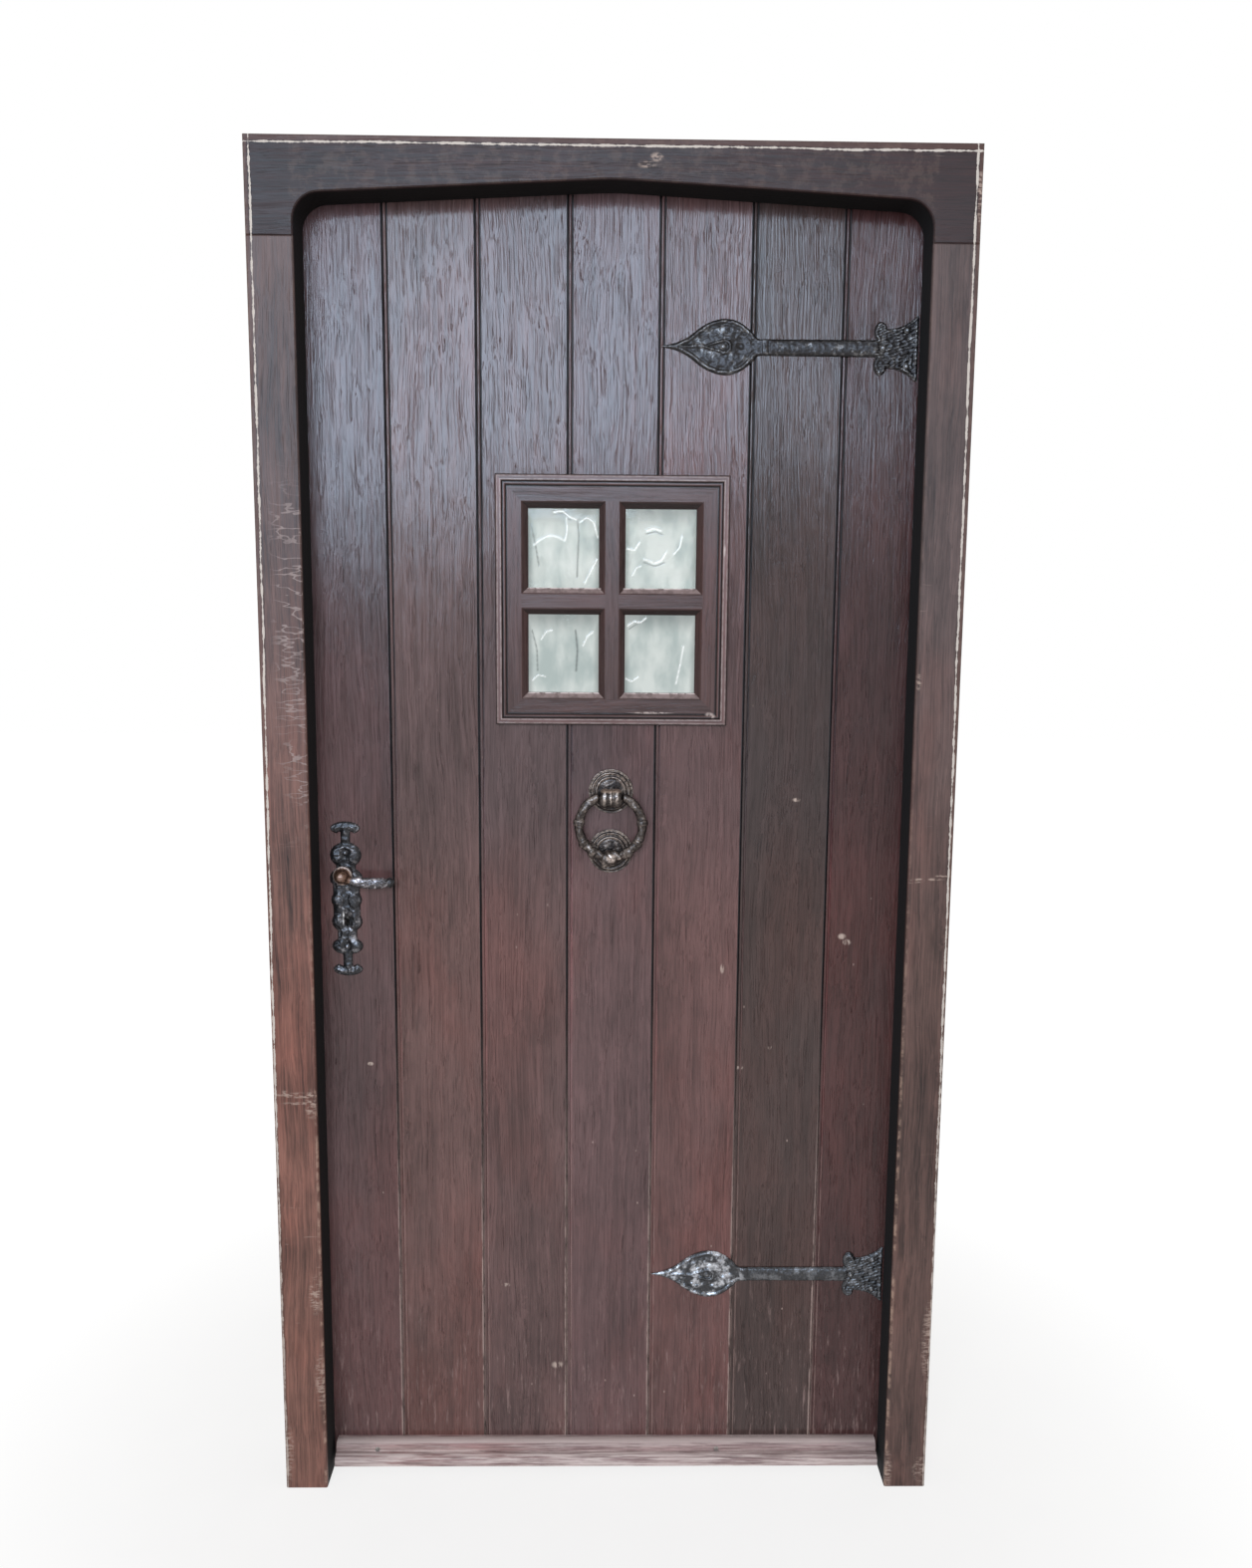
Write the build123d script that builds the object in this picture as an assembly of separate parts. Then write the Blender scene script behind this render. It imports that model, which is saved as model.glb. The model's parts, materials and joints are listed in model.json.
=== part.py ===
from build123d import *
import math
import os

# A boarded oak door leaf under a flat pointed arch, hung in its rebated frame. Millimetres, +Z up,
# +X to the right seen from outside, +Y from outside to inside. The origin is on the floor, in the
# middle of the overall width and depth. The leaf opens inwards on butt hinges at +X.

# Leaf
leaf_width = 914.0
leaf_height = 1981.0
board_thickness = 18.0
framing_thickness = 30.0
floor_gap = 9.0
edge_gap = 3.0
stop_gap = 1.0

# Frame round the leaf
jamb_face = 65.0
reveal_depth = 60.0
rebate_width = 15.0
crown_depth = 52.0
head_depth = 132.0
arris = 1.6
jamb_tenon_width = 24.0
jamb_tenon_breadth = 50.0
jamb_tenon_length = 55.0

# Arch: two slopes that meet at a soft crown, with a tight haunch at each jamb
arch_rise = 24.0
haunch_radius = 38.0
crown_radius = 500.0

# Wall fixings through the jambs, hidden in the rebate
fixing_radius = 4.5
fixing_height_shares = (0.22, 0.37, 0.62, 0.76)

# Matched boards with a bead along each joint
board_count = 7
board_pitch = 133.0
joint_gap = 2.0
bead_width = 5.0
quirk_width = 2.4
quirk_depth = 3.0
tongue_thickness = 6.0
tongue_length = 7.0
tongue_clearance = 0.5

# Framing behind the boards
stile_width = 100.0
top_rail_height = 150.0
window_rail_height = 90.0
lock_rail_height = 246.0
bottom_rail_height = 200.0
stud_width = 70.0
tenon_thickness = 10.0
tenon_length = 20.0
tenon_shoulder = 22.0
stud_tenon_length = 15.0

# Window: sash, glass, bars, beads and the planted moulding round it
sash_width = 318.0
sash_height = 340.0
window_height_share = 0.703
sash_flat = 24.0
sticking_width = 9.5
sticking_depth = 9.0
sticking_lip = 3.0
glass_thickness = 6.0
glass_margin = 1.0
bar_flat = 20.5
bead_depth = 12.0
moulding_width = 16.0
moulding_cover = 2.0
moulding_height = 9.0
moulding_step_width = 5.0
moulding_step_height = 5.0
moulding_bevel = 2.5

# Weatherboard along the foot
weatherboard_end_gap = 6.0
weatherboard_height = 30.5
weatherboard_foot = 17.0
weatherboard_step = 15.5
weatherboard_projection = 34.0
weatherboard_shelf = 19.0
weatherboard_land = 5.0
weatherboard_nose = 8.0
weatherboard_bulge = 2.2
drip_radius = 2.5
drip_inset = 7.0
weatherboard_screw_shares = (-0.424, 0.203)

# Countersunk wood screw
screw_head_radius = 4.0
screw_head_depth = 2.4
screw_shank_radius = 1.9
screw_length = 24.0

# Round-headed nail of the ironwork
nail_head_radius = 5.0
nail_head_height = 2.6
nail_shank_radius = 1.8
nail_length = 15.0

# Butt hinge
hinge_length = 100.0
hinge_flap_width = 28.0
hinge_flap_thickness = 2.5
hinge_flap_gap = 1.0
hinge_barrel_radius = 6.0
hinge_pin_radius = 3.0
hinge_running_clearance = 0.05
hinge_barrel_standoff = 0.5
hinge_knuckles = 5
hinge_knuckle_gap = 0.4
hinge_from_foot = 230.0
hinge_from_crown = 230.0
hinge_screw_span = 72.0
hinge_screw_stagger = 5.0
hinge_pin_head_radius = 4.6
hinge_pin_head_height = 2.0

# Mortice lock
backset = 52.0
spindle_height_share = 0.4942
key_drop = 72.0
case_depth = 78.0
case_thickness = 15.0
case_wall = 1.5
case_above_spindle = 45.0
case_below_key = 28.0
forend_width = 22.0
forend_thickness = 3.0
forend_lap = 22.0
lock_clearance = 0.3
latch_above_spindle = 18.0
latch_height = 18.0
latch_thickness = 10.0
latch_projection = 12.0
latch_body_length = 14.0
latch_tail_height = 6.0
latch_tail_thickness = 3.0
latch_stump_height = 13.0
latch_stump_width = 5.0
follower_radius = 9.0
follower_running_clearance = 0.05
follower_arm_reach = 19.0
follower_arm_width = 6.0
follower_arm_thickness = 8.0
follower_arm_gap = 0.5
bolt_height = 24.0
bolt_thickness = 10.0
bolt_length = 42.0
bolt_throw = 14.0
strike_thickness = 2.5
strike_width = 24.0
strike_lap = 24.0
pocket_clearance = 1.5
lock_screw_inset = 10.0

# Lever handle and its lobed plates
plate_length = 242.0
plate_width = 48.0
plate_top_above_spindle = 79.0
plate_thickness = 3.5
plate_nail_length = 9.5
plate_relief = 1.6
lever_projection = 44.0
lever_reach = 79.0
lever_drop = 11.0
lever_neck_radius = 8.0
lever_running_clearance = 0.05
lever_collar_radius = 12.0
lever_rim_radius = 14.5
lever_dome_radius = 12.5
lever_arm_out = 29.0
spindle_side = 8.0
spindle_clearance = 0.1
spindle_socket = 22.0
spindle_hole_radius = 9.5
keyhole_radius = 4.0
keyhole_slot_width = 4.5
keyhole_slot_drop = 12.0

# Strap fronts
strap_length = 375.0
strap_thickness = 4.0
strap_end_gap = 2.0
strap_bulb_half = 39.5
strap_bulb_at = 93.0
strap_bulb_length = 148.0
strap_bulb_shares = (
    (0.295, 0.41), (0.39, 0.68), (0.49, 0.88), (0.628, 1.0), (0.743, 0.93), (0.845, 0.71), (0.926, 0.42),
)
strap_tip_length = 24.0
strap_tip_half = 6.0
strap_bar_half = 11.5
strap_plate_length = 61.0
strap_plate_half = 46.0
strap_height_shares = (0.888, 0.1625)
strap_drop_radius = 10.0
strap_drop_length = 34.0
strap_drop_wall = 3.0
strap_drop_relief = 2.0
strap_collar_width = 8.0
strap_collar_relief = 1.6
strap_rib_half = 2.2
strap_rib_relief = 1.4

# Ring knocker
knocker_below_sash = 115.5
knocker_pivot_drop = 8.0
knocker_plate_radius = 32.0
strike_above_ball = 6.5
knocker_rim = 3.0
knocker_step = 5.0
knocker_pivot_out = 18.0
knocker_eye_radius = 12.0
knocker_eye_half = 15.5
knocker_neck_width = 26.0
knocker_neck_height = 18.0
ring_radius = 48.0
ring_bar_radius = 5.5
ring_ear_radius = 5.6
ring_ear_gap = 0.4
ring_pin_radius = 3.0
ring_pin_depth = 5.0
ring_running_clearance = 0.05
ring_ball_radius = 11.0
ring_knot_radius = 7.6
ring_collar_radius = 7.0
ring_ball_gap = 0.4
ring_curl_radius = 11.5
ring_curl_bar_radius = 3.2
ring_curl_out = 5.0
knocker_stud_radius = 3.0
nut_radius = 6.5
nut_height = 5.0
nut_washer_radius = 9.0
nut_washer_height = 1.6

# Shared overrun of every through cut
overrun = 5.0

# Places worked out from the sizes above
leaf_thickness = board_thickness + framing_thickness
leaf_half = leaf_width / 2
leaf_mid = (reveal_depth - lever_projection) / 2
leaf_front = leaf_mid - leaf_thickness / 2
leaf_back = leaf_mid + leaf_thickness / 2
board_back = leaf_front + board_thickness
framing_mid = (board_back + leaf_back) / 2
leaf_crown = floor_gap + leaf_height
leaf_offset = rebate_width - edge_gap

frame_front = leaf_front - reveal_depth
frame_back = leaf_back
stop_face = leaf_front - stop_gap
opening_half = leaf_half - leaf_offset
frame_half = opening_half + jamb_face
weatherboard_length = 2 * (opening_half - weatherboard_end_gap)
rebate_half = opening_half + rebate_width
arch_slope = math.atan(arch_rise / leaf_half)
opening_crown = leaf_crown - leaf_offset / math.cos(arch_slope)
frame_height = opening_crown + crown_depth
head_joint = frame_height - head_depth

window_height = floor_gap + window_height_share * leaf_height
sash_foot = window_height - sash_height / 2
sash_top = window_height + sash_height / 2
glass_front = leaf_front + sticking_depth + sticking_lip
glass_back = glass_front + glass_thickness

hinge_axis_x = leaf_half + edge_gap / 2
hinge_axis_y = leaf_back + hinge_barrel_radius + hinge_barrel_standoff
hinge_heights = {
    "top": leaf_crown - hinge_from_crown,
    "middle": (leaf_crown - hinge_from_crown + floor_gap + hinge_from_foot) / 2,
    "bottom": floor_gap + hinge_from_foot,
}

lock_edge = -leaf_half
spindle_x = lock_edge + backset
spindle_height = floor_gap + spindle_height_share * leaf_height
key_height = spindle_height - key_drop
case_foot = key_height - case_below_key
case_top = spindle_height + case_above_spindle
latch_mid = spindle_height + latch_above_spindle

knocker_plate_height = sash_foot - knocker_below_sash
knocker_pivot_height = knocker_plate_height - knocker_pivot_drop
ring_ear_x = knocker_eye_half + ring_ear_gap + ring_ear_radius
ring_drop = math.sqrt(ring_radius**2 - ring_ear_x**2)
strike_disc_height = knocker_pivot_height - ring_drop - ring_radius + strike_above_ball

parts = {}


def block(low, high):
    """A box between two opposite corners."""
    size = [b - a for a, b in zip(low, high)]
    middle = [(a + b) / 2 for a, b in zip(low, high)]
    return Pos(*middle) * Box(*size)


def upright(outline, front, back):
    """Extrudes an outline, drawn as X and Z, from one depth to another."""
    plane = Plane((0, front, 0), x_dir=(1, 0, 0), z_dir=(0, -1, 0))
    return extrude(plane * outline, amount=back - front, dir=(0, 1, 0))


def facing(shape, at, outward):
    """Stands a shape made along +Z on a point, facing outward."""
    return Plane(at, z_dir=outward) * shape


def polygon(*points):
    """A face inside a closed run of straight lines."""
    return make_face(Polyline(*points, close=True))


def dome_arc(rim_radius, rim, crown):
    """A round profile from a rim to the crown on the axis, drawn as radius and height."""
    rise = crown - rim
    radius = (rim_radius**2 + rise**2) / (2 * abs(rise))
    half_angle = math.atan2(rim_radius, radius - abs(rise)) / 2
    sink = math.copysign(radius * (1 - math.cos(half_angle)), rise)
    return ThreePointArc((rim_radius, rim), (radius * math.sin(half_angle), crown - sink), (0, crown))


def arch_outline(offset, foot):
    """The arched opening's outline, moved outwards by an offset, down to a foot level."""
    half = opening_half + offset
    crown = opening_crown + offset / math.cos(arch_slope)
    shoulder = crown - half * math.tan(arch_slope)
    face = polygon((-half, foot), (half, foot), (half, shoulder), (0, crown), (-half, shoulder))
    haunches = face.vertices().sort_by(Axis.Y)[2:4]
    face = fillet(haunches, radius=haunch_radius + offset)
    return fillet(face.vertices().sort_by(Axis.Y)[-1:], radius=crown_radius + offset)


def leaf_shape(front, back):
    """The leaf's arched outline as a slab between two depths."""
    return upright(arch_outline(leaf_offset, floor_gap), front, back)


def wood_screw():
    """A countersunk screw along -Z, with its head flush at zero."""
    head = Pos(0, 0, -screw_head_depth / 2) * Cone(screw_shank_radius, screw_head_radius, screw_head_depth)
    shank_length = screw_length - screw_head_depth
    shank = Pos(0, 0, -screw_head_depth - shank_length / 2) * Cylinder(screw_shank_radius, shank_length)
    return head + shank


def dome_nail(shank_length):
    """A round-headed nail along -Z, with the underside of its head at zero."""
    ball_radius = (nail_head_radius**2 + nail_head_height**2) / (2 * nail_head_height)
    ball = Pos(0, 0, nail_head_height - ball_radius) * Sphere(ball_radius)
    head = ball & Pos(0, 0, nail_head_height / 2) * Cylinder(nail_head_radius, nail_head_height)
    return head + Pos(0, 0, -shank_length / 2) * Cylinder(nail_shank_radius, shank_length)


# Frame: head and jambs
def make_frame():
    """The arched head and the two jambs, tenoned into it."""
    outer = Pos(0, frame_height / 2) * Rectangle(2 * frame_half, frame_height)
    blank = upright(outer, frame_front, frame_back)
    blank -= upright(arch_outline(0, -overrun), frame_front - overrun, frame_back + overrun)
    blank -= upright(arch_outline(rebate_width, -overrun), stop_face, frame_back + overrun)
    above = block(
        (-frame_half - overrun, frame_front - overrun, head_joint),
        (frame_half + overrun, frame_back + overrun, frame_height + overrun),
    )
    head = soften(blank & above)
    for name, side in (("jamb_lock_side", -1), ("jamb_hinge_side", 1)):
        ends = sorted((0, side * frame_half))
        jamb = blank & block((ends[0], frame_front, 0), (ends[1], frame_back, head_joint))
        tenon_mid = side * (rebate_half + frame_half) / 2
        depth_mid = (frame_front + frame_back) / 2
        tenon = Pos(tenon_mid, depth_mid, head_joint + jamb_tenon_length / 2) * Box(
            jamb_tenon_width, jamb_tenon_breadth, jamb_tenon_length
        )
        head -= tenon
        jamb = soften(jamb) + tenon
        for share in fixing_height_shares:
            hole = Cylinder(fixing_radius, jamb_face + 2 * overrun)
            jamb -= facing(hole, (tenon_mid, leaf_mid, share * frame_height), (1, 0, 0))
        parts[name] = jamb
    parts["frame_head"] = head


def soften(piece):
    """Takes the arris off the edges of a frame piece's outside face."""
    edges = piece.edges().filter_by_position(Axis.Y, frame_front, frame_front)
    edges = edges.filter_by(lambda edge: edge.center().Z > arris)
    return chamfer(edges, length=arris)


# Leaf: matched boards
def board_section(left, right, first, last):
    """A board's section in plan: a bead and groove on its left, a tongue on its right."""
    tongue_front = (leaf_front + board_back - tongue_thickness) / 2
    tongue_back = tongue_front + tongue_thickness
    left_edge = left if first else left + joint_gap / 2
    right_edge = right if last else right - joint_gap / 2
    if first:
        left_side = [Line((left_edge, board_back), (left_edge, leaf_front))]
        start = (left_edge, leaf_front)
    else:
        groove_end = left_edge + tongue_length + tongue_clearance - joint_gap
        bead_end = left_edge + bead_width
        start = (bead_end + quirk_width, leaf_front)
        left_side = [
            Polyline(
                (left_edge, board_back),
                (left_edge, tongue_back + tongue_clearance / 2),
                (groove_end, tongue_back + tongue_clearance / 2),
                (groove_end, tongue_front - tongue_clearance / 2),
                (left_edge, tongue_front - tongue_clearance / 2),
                (left_edge, leaf_front + quirk_depth),
            ),
            ThreePointArc(
                (left_edge, leaf_front + quirk_depth),
                (left_edge + bead_width / 2, leaf_front),
                (bead_end, leaf_front + quirk_depth),
            ),
            Polyline((bead_end, leaf_front + quirk_depth), (start[0], leaf_front + quirk_depth), start),
        ]
    if last:
        right_side = [
            Polyline(start, (right_edge, leaf_front), (right_edge, board_back), (left_edge, board_back))
        ]
    else:
        right_side = [
            Polyline(
                start,
                (right_edge, leaf_front),
                (right_edge, tongue_front),
                (right_edge + tongue_length, tongue_front),
                (right_edge + tongue_length, tongue_back),
                (right_edge, tongue_back),
                (right_edge, board_back),
                (left_edge, board_back),
            )
        ]
    return make_face(left_side + right_side)


def make_boards():
    """The row of boards, cut to the arch and round the window."""
    face = leaf_shape(leaf_front, board_back)
    window_hole = block(
        (-sash_width / 2, leaf_front - overrun, sash_foot), (sash_width / 2, board_back + overrun, sash_top)
    )
    for index in range(board_count):
        left = (index - board_count / 2) * board_pitch
        first, last = index == 0, index == board_count - 1
        right = leaf_half if last else left + board_pitch
        section = board_section(-leaf_half if first else left, right, first, last)
        board = extrude(Pos(0, 0, floor_gap) * section, amount=leaf_height, dir=(0, 0, 1)) & face
        pieces = (board - window_hole).solids().sort_by(Axis.Z)
        name = f"board_{index + 1}"
        if len(pieces) > 1:
            parts[f"{name}_lower"], parts[f"{name}_upper"] = pieces[0], pieces[-1]
        else:
            parts[name] = pieces[0]


# Leaf: framing behind the boards
def rail(foot, top, arched=False):
    """A rail between the stiles, with a tenon at each end."""
    half = leaf_half - stile_width
    body = block((-half, board_back, foot), (half, leaf_back, top))
    if arched:
        body = body & leaf_shape(board_back, leaf_back)
    tenon_top = min(top, foot + top_rail_height) - tenon_shoulder
    tenon = block(
        (-half - tenon_length, framing_mid - tenon_thickness / 2, foot + tenon_shoulder),
        (half + tenon_length, framing_mid + tenon_thickness / 2, tenon_top),
    )
    return body + tenon


def make_framing():
    """Stiles, rails and the two studs beside the window."""
    top_rail_foot = leaf_crown - top_rail_height
    rails = {
        "bottom_rail": rail(floor_gap, floor_gap + bottom_rail_height),
        "lock_rail": rail(sash_foot - lock_rail_height, sash_foot),
        "window_rail": rail(sash_top, sash_top + window_rail_height),
        "top_rail": rail(top_rail_foot, leaf_crown, arched=True),
    }
    slab = leaf_shape(board_back, leaf_back)
    for name, side in (("stile_lock_side", -1), ("stile_hinge_side", 1)):
        ends = sorted((side * leaf_half, side * (leaf_half - stile_width)))
        stile = slab & block((ends[0], board_back, floor_gap), (ends[1], leaf_back, leaf_crown))
        for piece in rails.values():
            stile -= piece
        parts[name] = stile
    for name, side in (("window_stud_left", -1), ("window_stud_right", 1)):
        ends = sorted((side * sash_width / 2, side * (sash_width / 2 + stud_width)))
        stud = block((ends[0], board_back, sash_foot), (ends[1], leaf_back, sash_top))
        stud += block(
            (ends[0] + tenon_shoulder, framing_mid - tenon_thickness / 2, sash_foot - stud_tenon_length),
            (ends[1] - tenon_shoulder, framing_mid + tenon_thickness / 2, sash_top + stud_tenon_length),
        )
        rails["lock_rail"] -= stud
        rails["window_rail"] -= stud
        parts[name] = stud
    parts.update(rails)


# Window
def window_sides(section, width, height, member):
    """Four mitred sides of a frame, from a section drawn as depth in Y and height over its outer edge."""
    sides = {}
    for index, name in enumerate(("bottom", "left", "top", "right")):
        run, reach = (height, width) if index % 2 else (width, height)
        plane = Plane((-run / 2, 0, -reach / 2), x_dir=(0, 1, 0), z_dir=(1, 0, 0))
        bar = extrude(plane * section, amount=run, dir=(1, 0, 0))
        mitre = polygon(
            (-run / 2, -reach / 2), (run / 2, -reach / 2),
            (run / 2 - member, member - reach / 2), (member - run / 2, member - reach / 2),
        )
        bar = bar & upright(mitre, leaf_front - overrun - moulding_height, leaf_back + overrun)
        sides[name] = Pos(0, 0, window_height) * (Rot(0, index * 90, 0) * bar)
    return sides


def make_window():
    """Sash, bars, glass, glazing beads and the planted moulding."""
    sash_member = sash_flat + sticking_width
    sash_section = polygon(
        (leaf_front, 0), (leaf_back, 0), (leaf_back, sash_flat), (glass_front, sash_flat),
        (glass_front, sash_member), (leaf_front + sticking_depth, sash_member), (leaf_front, sash_flat),
    )
    sash = window_sides(sash_section, sash_width, sash_height, sash_member)
    for side, piece in sash.items():
        parts[f"sash_{side}"] = piece

    bar_half = bar_flat / 2 + sticking_width
    bar_section = polygon(
        (-bar_flat / 2, leaf_front), (bar_flat / 2, leaf_front), (bar_half, leaf_front + sticking_depth),
        (bar_half, glass_front), (-bar_half, glass_front), (-bar_half, leaf_front + sticking_depth),
    )
    bar_run = sash_height - 2 * sash_flat
    bar_upright = extrude(Pos(0, 0, window_height - bar_run / 2) * bar_section, amount=bar_run, dir=(0, 0, 1))
    cross_run = sash_width - 2 * sash_flat
    bar_cross = extrude(Pos(0, 0, -cross_run / 2) * bar_section, amount=cross_run, dir=(0, 0, 1))
    bar_cross = Pos(0, 0, window_height) * (Rot(0, 90, 0) * bar_cross)
    halving = (leaf_front + glass_front) / 2
    bar_upright -= block(
        (-bar_half, halving, window_height - bar_half),
        (bar_half, glass_front + overrun, window_height + bar_half),
    )
    for piece in sash.values():
        bar_upright -= piece
        bar_cross -= piece
    parts["glazing_bar_upright"] = bar_upright
    parts["glazing_bar_cross"] = bar_cross - bar_upright

    glass_half = sash_width / 2 - sash_flat - glass_margin
    glass_half_height = sash_height / 2 - sash_flat - glass_margin
    parts["window_glass"] = block(
        (-glass_half, glass_front, window_height - glass_half_height),
        (glass_half, glass_back, window_height + glass_half_height),
    )

    bead_section = polygon(
        (glass_back, sash_flat), (glass_back + bead_depth, sash_flat),
        (glass_back + bead_depth, sash_flat + sticking_width / 2), (glass_back, sash_member),
    )
    beads = window_sides(bead_section, sash_width, sash_height, sash_member)
    parts["glazing_beads_upright"] = Compound(children=[beads["left"], beads["right"]])
    parts["glazing_beads_level"] = Compound(children=[beads["top"], beads["bottom"]])

    step = moulding_width - moulding_step_width
    moulding_section = polygon(
        (leaf_front, 0), (leaf_front - moulding_height + moulding_bevel, 0),
        (leaf_front - moulding_height, moulding_bevel), (leaf_front - moulding_height, step - moulding_bevel),
        (leaf_front - moulding_step_height, step),
        (leaf_front - moulding_step_height, moulding_width - moulding_bevel),
        (leaf_front - moulding_step_height + moulding_bevel, moulding_width), (leaf_front, moulding_width),
    )
    margin = 2 * (moulding_width - moulding_cover)
    moulding = window_sides(moulding_section, sash_width + margin, sash_height + margin, moulding_width)
    for side, piece in moulding.items():
        parts[f"window_moulding_{side}"] = piece


# Weatherboard
def make_weatherboard():
    """The stepped drip moulding along the foot of the leaf."""
    foot, top = weatherboard_foot, weatherboard_foot + weatherboard_height
    step = weatherboard_foot + weatherboard_step

    def out(distance, height):
        return (leaf_front - distance, height)

    def nose(low, high):
        middle = [(a + b) / 2 for a, b in zip(low, high)]
        return ThreePointArc(low, (middle[0] - weatherboard_bulge, middle[1] + weatherboard_bulge), high)

    lower = (out(weatherboard_projection, foot + weatherboard_nose), out(weatherboard_shelf, step))
    upper = (out(weatherboard_shelf, top - weatherboard_nose), out(weatherboard_land, top))
    section = make_face([
        Polyline(lower[0], out(weatherboard_projection, foot), out(0, foot), out(0, top), upper[1]),
        nose(*upper),
        Line(upper[0], lower[1]),
        nose(*lower),
    ])
    plane = Plane((-weatherboard_length / 2, 0, 0), x_dir=(0, 1, 0), z_dir=(1, 0, 0))
    board = extrude(plane * section, amount=weatherboard_length, dir=(1, 0, 0))
    drip = Cylinder(drip_radius, weatherboard_length + 2 * overrun)
    drip_y = leaf_front - weatherboard_projection + drip_inset
    parts["weatherboard"] = board - facing(drip, (0, drip_y, foot), (1, 0, 0))


# Butt hinges
def hinge_flap(side, height):
    """One flap with its knuckles: the jamb's flap takes the outer ones, the leaf's flap those between."""
    near = side * hinge_flap_gap / 2
    far = side * (hinge_flap_gap / 2 + hinge_flap_thickness)
    low_x, high_x = sorted((hinge_axis_x + near, hinge_axis_x + far))
    foot = height - hinge_length / 2
    plate_end = hinge_axis_y - hinge_barrel_radius - hinge_barrel_standoff / 2
    flap = block((low_x, leaf_back - hinge_flap_width, foot), (high_x, plate_end, foot + hinge_length))
    pitch = hinge_length / hinge_knuckles
    own = range(0 if side > 0 else 1, hinge_knuckles, 2)
    clearance = 0 if side > 0 else hinge_running_clearance
    for index in own:
        last = index == hinge_knuckles - 1
        knuckle_foot = foot + index * pitch + (hinge_knuckle_gap / 2 if index else 0)
        knuckle_top = foot + (index + 1) * pitch - (0 if last else hinge_knuckle_gap / 2)
        knuckle = Cylinder(hinge_barrel_radius, knuckle_top - knuckle_foot)
        flap += Pos(hinge_axis_x, hinge_axis_y, (knuckle_foot + knuckle_top) / 2) * knuckle
        flap += block((low_x, plate_end, knuckle_foot), (high_x, hinge_axis_y, knuckle_top))
    bore = Cylinder(hinge_pin_radius + clearance, hinge_length + 2 * overrun)
    return flap - Pos(hinge_axis_x, hinge_axis_y, height) * bore


def make_hinges():
    """Three butt hinges, let into the leaf's edge and into the jamb, with their screws."""
    pins, screws = [], {1: [], -1: []}
    for name, height in hinge_heights.items():
        for side, carrier, owner in ((1, "jamb_hinge_side", "jamb"), (-1, "stile_hinge_side", "leaf")):
            flap = hinge_flap(side, height)
            face_x = hinge_axis_x + side * hinge_flap_gap / 2
            for index in (-1, 0, 1):
                stagger = hinge_screw_stagger * (1 if index else -1)
                screw_y = leaf_back - hinge_flap_width / 2 + stagger
                at = (face_x, screw_y, height + index * hinge_screw_span / 2)
                screw = facing(wood_screw(), at, (-side, 0, 0))
                flap -= screw
                parts[carrier] -= screw
                screws[side].append(screw)
            low_x, high_x = sorted((face_x, face_x + side * hinge_flap_thickness))
            parts[carrier] -= block(
                (low_x, leaf_back - hinge_flap_width, height - hinge_length / 2),
                (high_x, leaf_back + overrun, height + hinge_length / 2),
            )
            parts[f"hinge_{name}_{owner}_flap"] = flap
        pin = Cylinder(hinge_pin_radius, hinge_length)
        head = Cylinder(hinge_pin_head_radius, hinge_pin_head_height)
        head = Pos(0, 0, (hinge_length + hinge_pin_head_height) / 2) * head
        pins.append(Pos(hinge_axis_x, hinge_axis_y, height) * (pin + head))
    parts["hinge_pins"] = Compound(children=pins)
    return screws[1], screws[-1]


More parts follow.
